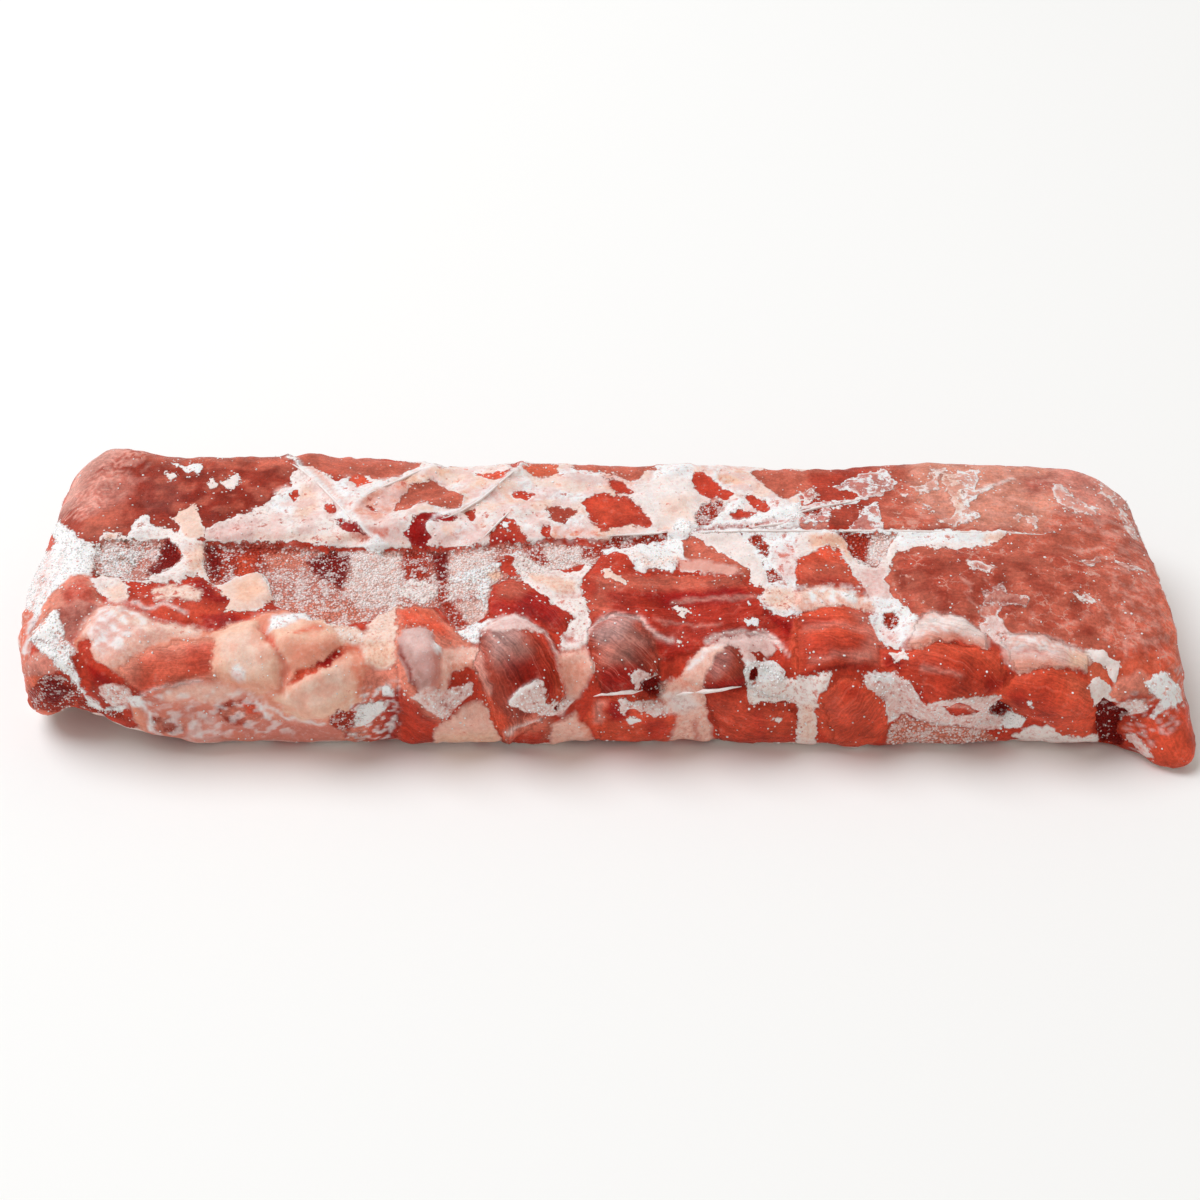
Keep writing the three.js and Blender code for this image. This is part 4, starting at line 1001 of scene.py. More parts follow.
# The third knuckle, with bright lean below it and a hole where the marrow shows.
paint(
    muscle=(bare, BRICK, [(588, 630), (612, 616), (635, 618), (652, 636), (659, 672), (645, 686), (606, 694),
        (594, 668)], 2.2, 11, 0.1, 0.5),
    # A painted slate sheen on the top, a painted highlight on the upper left rim, and painted shade at the
    # foot and on the right side.
    slate_top=(tint, SLATE, [(596, 638), (628, 624), (648, 644), (640, 668), (612, 664)], 3, 0.6),
    pearly_rim=(tint, PEARL, [(592, 634), (614, 618), (634, 622), (620, 642), (602, 646)], 2, 0.8),
    deep_foot=(tint, DEEP, [(600, 670), (634, 666), (652, 674), (640, 690), (604, 692)], 2, 0.8),
    dark_right_side=(tint, MAROON, [(632, 646), (650, 650), (650, 668), (630, 668)], 2, 0.7),
    rosy_left_side=(tint, ROSE, [(600, 646), (622, 646), (618, 664), (602, 664)], 2, 0.6),
    fibres=(run_fibres, (560, 740), [(588, 630), (612, 616), (635, 618), (659, 672), (645, 686), (606, 694),
        (594, 668)], 1.2),
    lilac_rim=(streak, LILAC, [(588, 632), (604, 619), (622, 615), (642, 622), (656, 638), (672, 642)], 0.9,
        0.9),
    flake=(cover, LILAC, [(630, 670), (645, 672), (657, 674), (646, 681), (634, 688)], 0.5, 1, 0.5),
    lean_below=(bare, SCARLET, [(596, 700), (620, 696), (672, 702), (682, 712), (674, 745), (602, 745),
        (586, 718)], 1, 5, 0.15, 0.6),
    fibres_below=(run_fibres, (640, 500), [(596, 698), (672, 698), (672, 740), (602, 742)], 0.6),
    dark_lean_below=(tint, DEEP, [(608, 700), (630, 700), (628, 718), (610, 718)], 1.5),
    dark_right_part_below=(tint, DEEP, [(640, 718), (664, 716), (672, 732), (650, 738)], 1.5, 0.6),
    pale_left_part_below=(tint, BLUSH, [(596, 700), (606, 700), (602, 722), (594, 722)], 1.5, 0.6),
    crumb=(cover, SNOW, [(627, 716), (640, 714), (640, 720), (630, 722)]),
    torn_skin=(cover, LILAC, [(619, 698), (650, 701), (674, 702), (680, 710), (655, 713), (630, 706),
        (622, 713)], 0.4, 1, 0.65, 0.2, 0.3),
    marrow_hole=(sawn, MARROW, [(640, 682), (652, 674), (662, 681), (667, 690), (655, 697), (643, 691)], -2.2,
        2.5, 0.25),
    valley_fat=(fat, TALLOW, [(660, 700), (664, 684), (684, 674), (704, 668), (703, 690), (714, 745),
        (668, 745), (678, 716)], 0.4, 4, 1.3, 0.3),
    salmon_in_valley=(wash, SALMON, [(668, 668), (700, 660), (704, 690), (690, 690)], 2, 0.8),
    frost_in_valley=(wash, SNOW, [(662, 694), (690, 690), (700, 706), (674, 712)], 2, 0.6),
    red_line_in_valley=(streak, RED, [(694, 722), (698, 740)], 1, 0.7),
)

# The fourth knuckle, small and half under its skin, and the lean below it.
paint(
    muscle=(bare, BRICK, [(702, 688), (708, 664), (720, 648), (734, 644), (745, 664), (748, 686), (722, 690)],
        1.8, 8, 0.1, 0.4),
    # A painted highlight on the upper left side, and painted shade at the foot.
    pearly_left_side=(tint, PEARL, [(708, 672), (716, 652), (730, 648), (728, 668), (714, 680)], 2, 0.4),
    dark_foot=(tint, DEEP, [(706, 682), (744, 676), (748, 690), (706, 692)], 1.2, 0.8),
    fibres=(run_fibres, (680, 730), [(703, 686), (710, 664), (722, 648), (734, 644), (748, 684)], 1.2),
    fat_over_it=(fat, TALLOW, [(680, 676), (692, 656), (710, 644), (736, 640), (726, 648), (714, 660),
        (706, 676), (702, 688)], 0.5, 1.5, 0.9, 0.2),
    white_rim=(streak, SNOW, [(690, 668), (706, 652), (730, 642), (760, 640)], 0.8),
    skin_over_it=(cover, LILAC, [(712, 642), (740, 636), (768, 638), (778, 650), (765, 658), (747, 668),
        (740, 650)], 0.4, 1, 0.15, 0.6, 0.4),
    upper_rim_of_skin=(streak, FILM, [(706, 642), (730, 634), (758, 634), (778, 644)], 0.7, 0.7),
    tear_in_skin=(bare, CLOT, [(750, 652), (765, 656), (758, 664)]),
    frost_beside_it=(cover, SNOW, [(741, 672), (745, 662), (775, 660), (787, 672), (780, 684), (748, 684)],
        0.5, 1.5, 0.75, 0.2, 0.3),
    skin_beside_it=(cover, FILM, [(747, 705), (748, 685), (790, 678), (804, 674), (804, 702), (770, 703)],
        0.5, 1.5, 0.6, 0.2, 0.3),
    marrow_hole=(sawn, MARROW, [(749, 669), (757, 665), (760, 672), (756, 682), (749, 679)], -1.6, 1.6,
        0.15),
    lean_below=(bare, RED, [(705, 692), (748, 689), (748, 704), (785, 700), (804, 734), (760, 744),
        (722, 742), (710, 720)], 1, 6, 0.1, 0.25),
    scarlet_right_part=(tint, SCARLET, [(760, 706), (790, 706), (798, 730), (770, 738)], 2, 0.8),
    scarlet_left_part=(tint, SCARLET, [(712, 700), (750, 696), (754, 736), (724, 740)], 3, 0.6),
    fibres_below=(run_fibres, (800, 560), [(705, 692), (748, 689), (785, 700), (802, 734), (722, 738)], 0.8),
    flake=(cover, FILM, [(770, 716), (782, 716), (780, 720), (772, 720)], 0.2, 0.8, 0.2),
)

# The fifth knuckle, round and bright red, and the round muscle below it.
paint(
    muscle=(bare, SCARLET, [(796, 616), (835, 606), (862, 611), (882, 640), (878, 660), (864, 668),
        (820, 671), (796, 678), (790, 650)], 2.2, 11, 0.05, 0.5),
    red_foot=(tint, RED, [(800, 640), (870, 640), (872, 664), (820, 668), (800, 672)], 3, 0.8),
    dark_left_part=(tint, DEEP, [(798, 622), (830, 618), (834, 628), (800, 632)], 2, 0.5),
    rosy_right_end=(tint, ROSE, [(850, 614), (866, 614), (883, 640), (877, 662), (850, 662), (866, 638)], 3,
        0.7),
    fibres=(run_fibres, (812, 860), [(798, 616), (835, 606), (862, 611), (880, 640), (878, 660), (820, 670),
        (798, 678)], 0.9),
    pale_band=(streak, BLUSH, [(806, 632), (836, 628), (866, 634)], 1.3, 0.3),
    lower_pale_band=(streak, BLUSH, [(812, 662), (840, 656), (866, 658)], 1.3, 0.35),
    dark_lower_edge=(streak, DEEP, [(806, 672), (840, 668), (866, 667)], 0.8),
    frost_beside_it=(cover, SNOW, [(866, 619), (880, 610), (870, 600), (896, 600), (920, 618), (921, 634),
        (900, 648), (882, 648)], 0.7, 2, 0.45, 0.2, 0.25),
    lilac_in_frost=(wash, LILAC, [(880, 628), (900, 636), (895, 646), (884, 644)], 1.2, 0.8),
    clot_in_frost=(sawn, CLOT, [(884, 616), (892, 612), (900, 618), (898, 628), (888, 630), (884, 624)], -0.9,
        1.6, 0.45),
    skin_below_at_left=(cover, FILM, [(798, 676), (832, 672), (826, 690), (816, 712), (816, 745), (796, 745)],
        0.4, 1.5, 0.45, 0.3, 0.25),
    peach_in_skin=(wash, PEACH, [(800, 704), (816, 702), (816, 740), (800, 740)], 1.5, 0.6),
    muscle_below=(bare, SCARLET, [(820, 692), (845, 676), (862, 682), (884, 697), (890, 732), (865, 746),
        (835, 744), (818, 724)], 1.2, 8, 0.05, 0.4),
    red_of_muscle_below=(tint, RED, [(830, 700), (880, 704), (884, 736), (840, 740)], 3, 0.3),
    fibres_below=(run_fibres, (760, 620), [(822, 692), (845, 676), (884, 697), (888, 732), (835, 740)], 0.9),
    dark_top_below=(tint, DEEP, [(838, 682), (860, 686), (864, 698), (844, 698)], 2, 0.5),
    brown_left_side_below=(tint, BRICK, [(826, 690), (840, 684), (840, 710), (826, 710)], 2, 0.7),
)

# The sixth knuckle, under a cap of fat, with torn skin below.
paint(
    cap_of_fat=(fat, VEIL, [(906, 648), (912, 630), (926, 612), (960, 616), (986, 634), (988, 650),
        (962, 640), (938, 640), (918, 650)], 0.8, 5, 1.6, 0.15),
    salmon_foot_of_cap=(wash, SALMON, [(910, 644), (940, 634), (984, 642), (984, 654), (940, 646),
        (912, 654)], 1.6, 0.8),
    frost_on_cap=(dapple, SNOW, [(908, 640), (930, 614), (960, 616), (986, 636), (950, 634)], 2.2, 58, 0.3),
    fibres_of_cap=(run_fibres, (925, 760), [(908, 646), (924, 613), (960, 617), (984, 635), (985, 650),
        (940, 643)]),
    white_band_on_cap=(streak, FILM, [(912, 634), (930, 622), (958, 624), (980, 636)], 1.6, 0.7),
    coral_line_under_cap=(streak, CORAL, [(920, 644), (942, 634), (968, 640)], 0.8, 0.5),
    muscle=(bare, SCARLET, [(880, 652), (912, 652), (938, 643), (978, 648), (1004, 655), (1004, 694),
        (965, 699), (926, 710), (908, 690), (882, 668)], 2.2, 11, 0.05, 0.5),
    red_middle=(tint, RED, [(900, 660), (960, 660), (996, 672), (990, 692), (930, 700), (908, 684)], 3, 0.8),
    fibres=(run_fibres, (890, 800), [(880, 650), (912, 652), (940, 642), (1002, 655), (1002, 692), (926, 708),
        (882, 666)], 0.9),
    dark_left_end=(tint, DEEP, [(882, 652), (905, 662), (905, 672), (884, 668)], 1.5, 0.8),
    dark_lower_left=(tint, DEEP, [(906, 684), (922, 686), (930, 700), (920, 706), (910, 694)], 1.6, 0.7),
    dark_right_end=(tint, DEEP, [(980, 676), (1004, 676), (1004, 692), (984, 692)], 2, 0.7),
    pale_band=(streak, BLUSH, [(922, 668), (940, 671), (958, 675)], 0.8, 0.5),
    flake=(cover, FILM, [(889, 656), (905, 648), (909, 660), (896, 662)], 0.4, 0.8, 0.4),
    torn_skin_below=(cover, LILAC, [(860, 672), (895, 672), (914, 682), (924, 704), (945, 697), (1000, 694),
        (1000, 730), (940, 728), (905, 712), (888, 724), (884, 697), (866, 690)], 0.5, 1.5, 0.6, 0.2, 0.25),
    frost_on_skin=(wash, SNOW, [(868, 672), (892, 672), (894, 682), (872, 682)], 0.8),
    window_in_skin=(bare, RED, [(939, 705), (960, 702), (979, 710), (965, 716), (950, 712)], -0.6, 1),
    pale_line_in_window=(streak, BLUSH, [(946, 706), (960, 706), (972, 710)], 0.5),
    bony_foot=(sawn, CORAL, [(888, 728), (905, 714), (930, 722), (985, 730), (1000, 742), (985, 755),
        (886, 755)], 0.3, 3, 0.6, 0.6),
)

# The seventh knuckle, under its own cap of fat.
paint(
    cap_of_fat=(fat, VEIL, [(998, 636), (1012, 634), (1050, 638), (1092, 654), (1088, 672), (1050, 666),
        (1018, 674), (1004, 656)], 0.8, 5, 1.6, 0.15),
    skin_left_of_cap=(cover, LILAC, [(976, 626), (992, 616), (1002, 622), (1012, 634), (1006, 648),
        (992, 640)], 0.3, 1.5, 0.4, 0.3, 0.4),
    salmon_foot_of_cap=(wash, SALMON, [(1008, 658), (1050, 660), (1088, 670), (1050, 674), (1016, 676)], 1.6,
        0.7),
    frost_on_cap=(dapple, SNOW, [(1000, 650), (1012, 634), (1050, 638), (1086, 652), (1050, 656)], 2.2, 59,
        0.3),
    peach_right_end_of_cap=(wash, PEACH, [(1066, 652), (1092, 656), (1088, 670), (1070, 668)], 1.5),
    fibres_of_cap=(run_fibres, (1010, 820), [(998, 634), (1050, 638), (1090, 655), (1085, 670), (1050, 667),
        (1018, 672)]),
    red_fleck_on_cap=(streak, RED, [(1018, 652), (1034, 650), (1042, 654)], 0.5, 0.6),
    muscle=(bare, SCARLET, [(996, 692), (1018, 674), (1055, 667), (1090, 680), (1096, 715), (1088, 736),
        (1058, 736), (1045, 722), (1006, 706)], 2.2, 11, 0.05, 0.5),
    red_middle=(tint, RED, [(1010, 690), (1050, 680), (1060, 720), (1030, 714)], 3, 0.8),
    fibres=(run_fibres, (1000, 860), [(1000, 692), (1018, 674), (1055, 667), (1087, 680), (1096, 715),
        (1010, 706)], 0.9),
    dark_left_end=(tint, DEEP, [(1006, 690), (1024, 690), (1030, 702), (1016, 704)], 2, 0.6),
    orange_right_end=(tint, ORANGE, [(1064, 676), (1090, 684), (1092, 700), (1070, 694)], 2, 0.7),
    crumb=(cover, SNOW, [(1027, 699), (1031, 694), (1036, 698), (1033, 704)]),
    marrow_hole=(sawn, MARROW, [(988, 706), (1000, 700), (1010, 706), (1004, 714), (992, 713)], -1.8, 2,
        0.2),
    frost_below_hole=(cover, SNOW, [(1000, 718), (1010, 707), (1027, 718), (1020, 728), (1004, 728)], 0.4, 1,
        0.8, 0.3),
    skin_along_foot=(cover, FILM, [(1012, 734), (1027, 727), (1055, 724), (1062, 734), (1100, 734),
        (1092, 750), (1040, 750)], 0.4, 1, 0.4, 0.3),
)

# The near right corner: the hook of muscle, its skin, the last sawn rib and the loose tail.
paint(
    orange_lean=(tint, ORANGE, [(1108, 660), (1160, 650), (1180, 700), (1120, 700)], 3, 0.7),
    hook_of_muscle=(bare, ORANGE, [(1087, 668), (1096, 660), (1108, 672), (1106, 685), (1092, 681)], 0.8, 3),
    skin_above_hook=(cover, FILM, [(1088, 650), (1100, 650), (1120, 662), (1115, 690), (1104, 665),
        (1090, 660)], 0.5, 1.2),
    skin_below_hook=(cover, FILM, [(1087, 684), (1096, 677), (1110, 684), (1126, 703), (1104, 699),
        (1094, 706)], 0.5, 1.2, 0.2),
    coral_lean=(bare, CORAL, [(1108, 692), (1118, 680), (1140, 671), (1148, 676), (1146, 690), (1157, 698),
        (1138, 706), (1118, 701)], 1, 4, 0.1, 0.4),
    red_line_below_it=(streak, RED, [(1120, 698), (1140, 696), (1154, 698)], 1),
    lilac_flake=(cover, LILAC, [(1118, 704), (1136, 700), (1150, 706), (1140, 714), (1124, 716)], 0.3, 1, 0.7,
        0.4),
    last_sawn_rib=(sawn, MARROW, [(1094, 707), (1102, 698), (1120, 706), (1127, 713), (1119, 722),
        (1118, 742), (1099, 742)], -1.8, 2, 0.25),
    frost=(cover, SNOW, [(1144, 683), (1152, 675), (1166, 672), (1180, 688), (1183, 700), (1158, 726),
        (1148, 719), (1160, 700), (1150, 692)], 0.5, 1.5, 0.55, 0.3, 0.25),
    slit_in_frost=(streak, RED, [(1146, 713), (1158, 706)], 0.9, 0.7),
    tail=(bare, SCARLET, [(1120, 724), (1150, 718), (1175, 704), (1200, 698), (1200, 780), (1160, 776),
        (1138, 746)], 0.5, 4, 0.1, 0.6),
    bright_middle_of_tail=(tint, SCARLET, [(1150, 730), (1176, 716), (1180, 766), (1158, 766)], 3, 0.8),
    fibres_of_tail=(run_fibres, (1060, 800), [(1120, 724), (1150, 718), (1195, 698), (1196, 775),
        (1138, 746)], 0.5),
    skin_on_tail=(cover, LILAC, [(1126, 734), (1138, 733), (1154, 757), (1144, 756)], 0.4, 1, 0.4, 0.2, 0.3),
    drop_of_marrow=(sawn, MARROW, [(1112, 736), (1122, 733), (1126, 742), (1120, 750), (1110, 744)], -1, 1.5,
        0.2),
    frost_blots=(dapple, SNOW, [(1120, 700), (1185, 660), (1190, 720), (1130, 760)], 2.4, 54, 0.7, 0.4),
)

# The sides that the photograph doesn't show follow a rule: ribs under skin below, lean with fat at the back.
RIB_PITCH = 35.0
FIRST_RIB = -161.0
turn = np.cos((place[:, 0] / MM - FIRST_RIB) / RIB_PITCH * 2 * math.pi)
under = steps(-normal[:, 2], 0.3, 0.8)
along_slab = place * [0.3, 1.0, 1.0]
patchy = 1.2 * wander(along_slab, 16, 21) + 0.4 * wander(place, 6, 22)
rule_pale = under * (1.6 * turn + patchy) + (1 - under) * (1.4 * patchy - 1.3)
rule_bed = np.full(count, -REACH)
rule_lean = np.zeros((count, 3))
shade(rule_lean, RED, everywhere)
shade(rule_lean, BRICK, steps(wander(place, 40, 24), -0.5, 0.8))
shade(rule_lean, SCARLET, 0.6 * steps(wander(along_slab, 12, 25), 0.2, 1.0))
shade(rule_lean, ROSE, 0.5 * steps(wander(place, 30, 26), 0.3, 1.2))
rule_film = np.zeros((count, 3))
shade(rule_film, FILM, everywhere)
shade(rule_film, PEACH, 0.6 * steps(wander(place, 24, 27), 0.2, 1.2))
shade(rule_film, LILAC, steps(wander(place, 18, 28), 0.3, 1.0))
hidden = 1 - shown
pale_depth += hidden * (np.clip(rule_pale, -REACH, REACH) - pale_depth)
bed_depth += hidden * (rule_bed - bed_depth)
lean_tone += hidden[:, None] * (rule_lean - lean_tone)
pale_tone += hidden[:, None] * (rule_film - pale_tone)
frost += hidden * (np.clip(0.12 + 0.25 * wander(place, 20, 29), 0, 1) - frost)
lift += hidden * 0.35 * steps(rule_pale, -0.4, 0.8)

# Low waves that a butcher's cut and the freezer leave all over, then the forms above are pressed in.
lift += 0.16 * wander(place, 12, 31) + 0.07 * wander(place, 5, 32)
lift += 0.28 * wander(place * [1.0, 1.6, 1.0], 13, 33) * steps(pale_depth, 0.0, 2.0)
low, high = [np.array(corner) for corner in cad_box]
place += normal * (lift * MM)[:, None]
place = np.clip(place, low, high)
slab_mesh.vertices.foreach_set("co", place.ravel())
slab_mesh.update()
for polygon in slab_mesh.polygons:
    polygon.use_smooth = True


def keep(name, kind, values):
    """Keeps painted values on the slab's mesh, where its material reads them."""
    layer = slab_mesh.attributes.new(name, kind, "POINT")
    field = {"FLOAT": "value", "FLOAT_VECTOR": "vector", "FLOAT_COLOR": "color"}[kind]
    layer.data.foreach_set(field, np.ascontiguousarray(values, np.float32).ravel())


opaque = np.ones((count, 1))
amounts = {
    "pale_depth": pale_depth, "bed_depth": bed_depth, "frost": frost, "fibre": fibre, "marbling": marbling,
    "softness": softness, "thinness": thinness,
}
tones = {"lean_tone": lean_tone, "pale_tone": pale_tone, "bed_tone": bed_tone}
for name, values in amounts.items():
    keep(name, "FLOAT", values)
keep("fibre_path", "FLOAT_VECTOR", fibre_path)
for name, values in tones.items():
    keep(name, "FLOAT_COLOR", np.hstack([values, opaque]))

# Frozen pork: cut lean with its fibres, waxy fat and thin silver skin, crumbly sawn bone, all dusted with
# frost. It gives the eye soft red depth, crisp torn white edges and a matte, faintly glittering surface.
pork = bpy.data.materials.new("frozen_pork_lean_skin_and_fat")
pork.use_nodes = True
tree = pork.node_tree
tree.nodes.clear()


def node(kind, settings, inputs):
    """Adds one node. An input is a value, a socket, or a node, whose first output is used."""
    made = tree.nodes.new(kind)
    for name, value in settings.items():
        setattr(made, name, value)
    for name, value in inputs.items():
        if isinstance(value, bpy.types.Node):
            value = next(socket for socket in value.outputs if socket.enabled)
        if isinstance(value, bpy.types.NodeSocket):
            tree.links.new(value, made.inputs[name])
        else:
            made.inputs[name].default_value = value
    return made


# Inputs by number: a map has its value at 0, then the range from at 1 and 2 and the range to at 3 and 4.
# A mix has its part at 0, the colour under at 6 and the colour over at 7.
ATTRIBUTE = "ShaderNodeAttribute"
NOISE = "ShaderNodeTexNoise"
CELLS = "ShaderNodeTexVoronoi"
MATH = "ShaderNodeMath"
VECTOR = "ShaderNodeVectorMath"
MAP = "ShaderNodeMapRange"
MIX = "ShaderNodeMix"
CHANNELS = "ShaderNodeSeparateColor"
ADD = {"operation": "ADD"}
SUBTRACT = {"operation": "SUBTRACT"}
MULTIPLY = {"operation": "MULTIPLY"}
DIVIDE = {"operation": "DIVIDE"}
HIGHEST = {"operation": "MAXIMUM"}
MULTIPLY_ADD = {"operation": "MULTIPLY_ADD"}
BY_LEVEL = {"operation": "SCALE"}
SMOOTH = {"interpolation_type": "SMOOTHSTEP"}
COLOUR = {"data_type": "RGBA"}
ICE = (*linear("#f9f2ef"), 1.0)
HAZE = (*linear("#dea797"), 1.0)
THIN_SKIN = (*linear("#cfa49c"), 1.0)

where = node("ShaderNodeTexCoord", {}, {}).outputs["Object"]
colour_of = {}
for name in tones:
    colour_of[name] = node(ATTRIBUTE, {"attribute_name": name}, {}).outputs["Color"]
amount_of = {}
for name in amounts:
    amount_of[name] = node(ATTRIBUTE, {"attribute_name": name}, {}).outputs["Fac"]
path = node(ATTRIBUTE, {"attribute_name": "fibre_path"}, {}).outputs["Vector"]

# Torn edges: ragged over a few millimetres, then crumbs of skin outside the edge and pinholes inside it.
TEAR_MM = 2.4
RAGGED_MM = 10.0
CRUMB_MM = 1.5
tear = node(NOISE, {}, {"Vector": where, "Scale": 1 / (TEAR_MM * MM), "Detail": 5.0, "Roughness": 0.68})
tear = node(MATH, MULTIPLY_ADD, {0: tear, 1: 4.6, 2: -2.3})
ragged = node(NOISE, {}, {"Vector": where, "Scale": 1 / (RAGGED_MM * MM), "Detail": 2.0, "Roughness": 0.5})
ragged = node(MAP, SMOOTH, {0: ragged, 1: 0.36, 2: 0.62, 3: 0.25, 4: 1.2})
tear = node(MATH, MULTIPLY, {0: tear, 1: ragged})
pale_edge = node(MATH, ADD, {0: amount_of["pale_depth"], 1: tear})
bed_edge = node(MATH, ADD, {0: amount_of["bed_depth"], 1: tear})
edge_width = node(MATH, HIGHEST, {0: amount_of["softness"], 1: 0.08})
crumbs = node(CELLS, {}, {"Vector": where, "Scale": 1 / (CRUMB_MM * MM)})
crumb_kind = node(CHANNELS, {}, {0: crumbs.outputs["Color"]})
crumb_size = node(MAP, SMOOTH, {0: crumbs, 1: 0.10, 2: 0.45, 3: 1.0, 4: 0.0})
near_skin = node(MAP, SMOOTH, {0: pale_edge, 1: -4.5, 2: -0.3, 3: 0.0, 4: 1.0})
some_crumbs = node(MAP, SMOOTH, {0: crumb_kind.outputs[0], 1: 0.45, 2: 0.75, 3: 0.0, 4: 1.0})
island = node(MATH, MULTIPLY, {0: node(MATH, MULTIPLY, {0: crumb_size, 1: some_crumbs}), 1: near_skin})
island = node(MAP, SMOOTH, {0: island, 1: 0.35, 2: 0.5, 3: 0.0, 4: 0.85})
some_holes = node(MAP, SMOOTH, {0: crumb_kind.outputs[1], 1: 0.88, 2: 0.97, 3: 0.0, 4: 1.0})
pinhole = node(MATH, MULTIPLY, {0: crumb_size, 1: some_holes})
pinhole = node(MATH, MULTIPLY, {0: pinhole, 1: amount_of["thinness"]})
pinhole = node(MAP, SMOOTH, {0: pinhole, 1: 0.1, 2: 0.2, 3: 0.0, 4: 0.7})
pale_mask = node(MATH, DIVIDE, {0: pale_edge, 1: edge_width})
pale_mask = node(MAP, SMOOTH, {0: pale_mask, 1: -1.0, 2: 1.0, 3: 0.0, 4: 1.0})
pale_mask = node(MATH, SUBTRACT, {0: node(MATH, HIGHEST, {0: pale_mask, 1: island}), 1: pinhole})
bed_mask = node(MATH, DIVIDE, {0: bed_edge, 1: edge_width})
bed_mask = node(MAP, SMOOTH, {0: bed_mask, 1: -1.0, 2: 1.0, 3: 0.0, 4: 1.0})

# Lean: fine fibres along the muscle, slow mottling, a bloom of frost, and a broken net of fat in the loin.
FIBRE_MM = 2.0
FINE_FIBRE_MM = 0.7
MOTTLE_MM = 8.0
FINE_MM = 1.1
BLOOM_MM = 4.0
SWAY_MM = 3.0
SWAY_BY_MM = 5
NET_MM = 5.5
LACE_MM = 7.0
lines = node("ShaderNodeMapping", {}, {0: path, "Scale": (0.035 / FIBRE_MM, 1 / FIBRE_MM, 1.0)})
broad = node(NOISE, {}, {"Vector": lines, "Scale": 1.0, "Detail": 2.0, "Roughness": 0.5, "Distortion": 0.12})
broad = node(MAP, SMOOTH, {0: broad, 1: 0.28, 2: 0.72, 3: -0.5, 4: 0.5})
lines = node("ShaderNodeMapping", {}, {0: path, "Scale": (0.03 / FINE_FIBRE_MM, 1 / FINE_FIBRE_MM, 1.0)})
thread = node(NOISE, {}, {"Vector": lines, "Scale": 1.0, "Detail": 3.0, "Roughness": 0.6, "Distortion": 0.1})
thread = node(MAP, SMOOTH, {0: thread, 1: 0.3, 2: 0.72, 3: -0.5, 4: 0.5})
strand = node(MATH, MULTIPLY_ADD, {0: thread, 1: 0.7, 2: node(MATH, MULTIPLY, {0: broad, 1: 0.4})})
strand = node(MATH, MULTIPLY, {0: strand, 1: amount_of["fibre"]})
mottle = node(NOISE, {}, {"Vector": where, "Scale": 1 / (MOTTLE_MM * MM), "Detail": 4.0, "Roughness": 0.55})
fine = node(NOISE, {}, {"Vector": where, "Scale": 1 / (FINE_MM * MM), "Detail": 4.0, "Roughness": 0.65})
lean_level = node(MAP, SMOOTH, {0: mottle, 1: 0.3, 2: 0.7, 3: 0.76, 4: 1.22})
lean_level = node(MATH, MULTIPLY_ADD, {0: strand, 1: 0.5, 2: lean_level})
fine_level = node(MAP, SMOOTH, {0: fine, 1: 0.3, 2: 0.7, 3: 0.8, 4: 1.18})
lean_level = node(MATH, MULTIPLY, {0: lean_level, 1: fine_level})
lean = node(VECTOR, BY_LEVEL, {0: colour_of["lean_tone"], "Scale": lean_level})
bloom = node(NOISE, {}, {"Vector": where, "Scale": 1 / (BLOOM_MM * MM), "Detail": 6.0, "Roughness": 0.7})
bloom = node(MATH, MULTIPLY_ADD, {0: amount_of["frost"], 1: 0.35, 2: bloom})
bloom = node(MAP, SMOOTH, {0: bloom, 1: 0.58, 2: 0.95, 3: 0.0, 4: 0.6})
lean = node(MIX, COLOUR, {0: bloom, 6: lean, 7: HAZE})
pale_strand = node(MAP, SMOOTH, {0: strand, 1: 0.15, 2: 0.7, 3: 0.0, 4: 0.28})
lean = node(MIX, COLOUR, {0: pale_strand, 6: lean, 7: HAZE})
sway = node(NOISE, {}, {"Vector": where, "Scale": 1 / (SWAY_MM * MM), "Detail": 4.0, "Roughness": 0.7})
swayed = node(VECTOR, MULTIPLY_ADD, {0: sway.outputs["Color"], 1: (SWAY_BY_MM * MM,) * 3, 2: where})
net = node(CELLS, {"feature": "DISTANCE_TO_EDGE"}, {"Vector": swayed, "Scale": 1 / (NET_MM * MM)})
net_line = node(MAP, SMOOTH, {0: net, 1: 0.0, 2: 0.07, 3: 0.7, 4: 0.0})
net_here = node(MAP, SMOOTH, {0: mottle, 1: 0.47, 2: 0.62, 3: 0.0, 4: 1.0})
lace = node(NOISE, {}, {"Vector": where, "Scale": 1 / (LACE_MM * MM), "Detail": 7.0, "Roughness": 0.72})
lace = node(MAP, SMOOTH, {0: lace, 1: 0.63, 2: 0.665, 3: 0.0, 4: 0.85})
net_line = node(MATH, HIGHEST, {0: node(MATH, MULTIPLY, {0: net_line, 1: net_here}), 1: lace})
net_line = node(MATH, MULTIPLY, {0: net_line, 1: amount_of["marbling"]})
lean = node(MIX, COLOUR, {0: net_line, 6: lean, 7: HAZE})

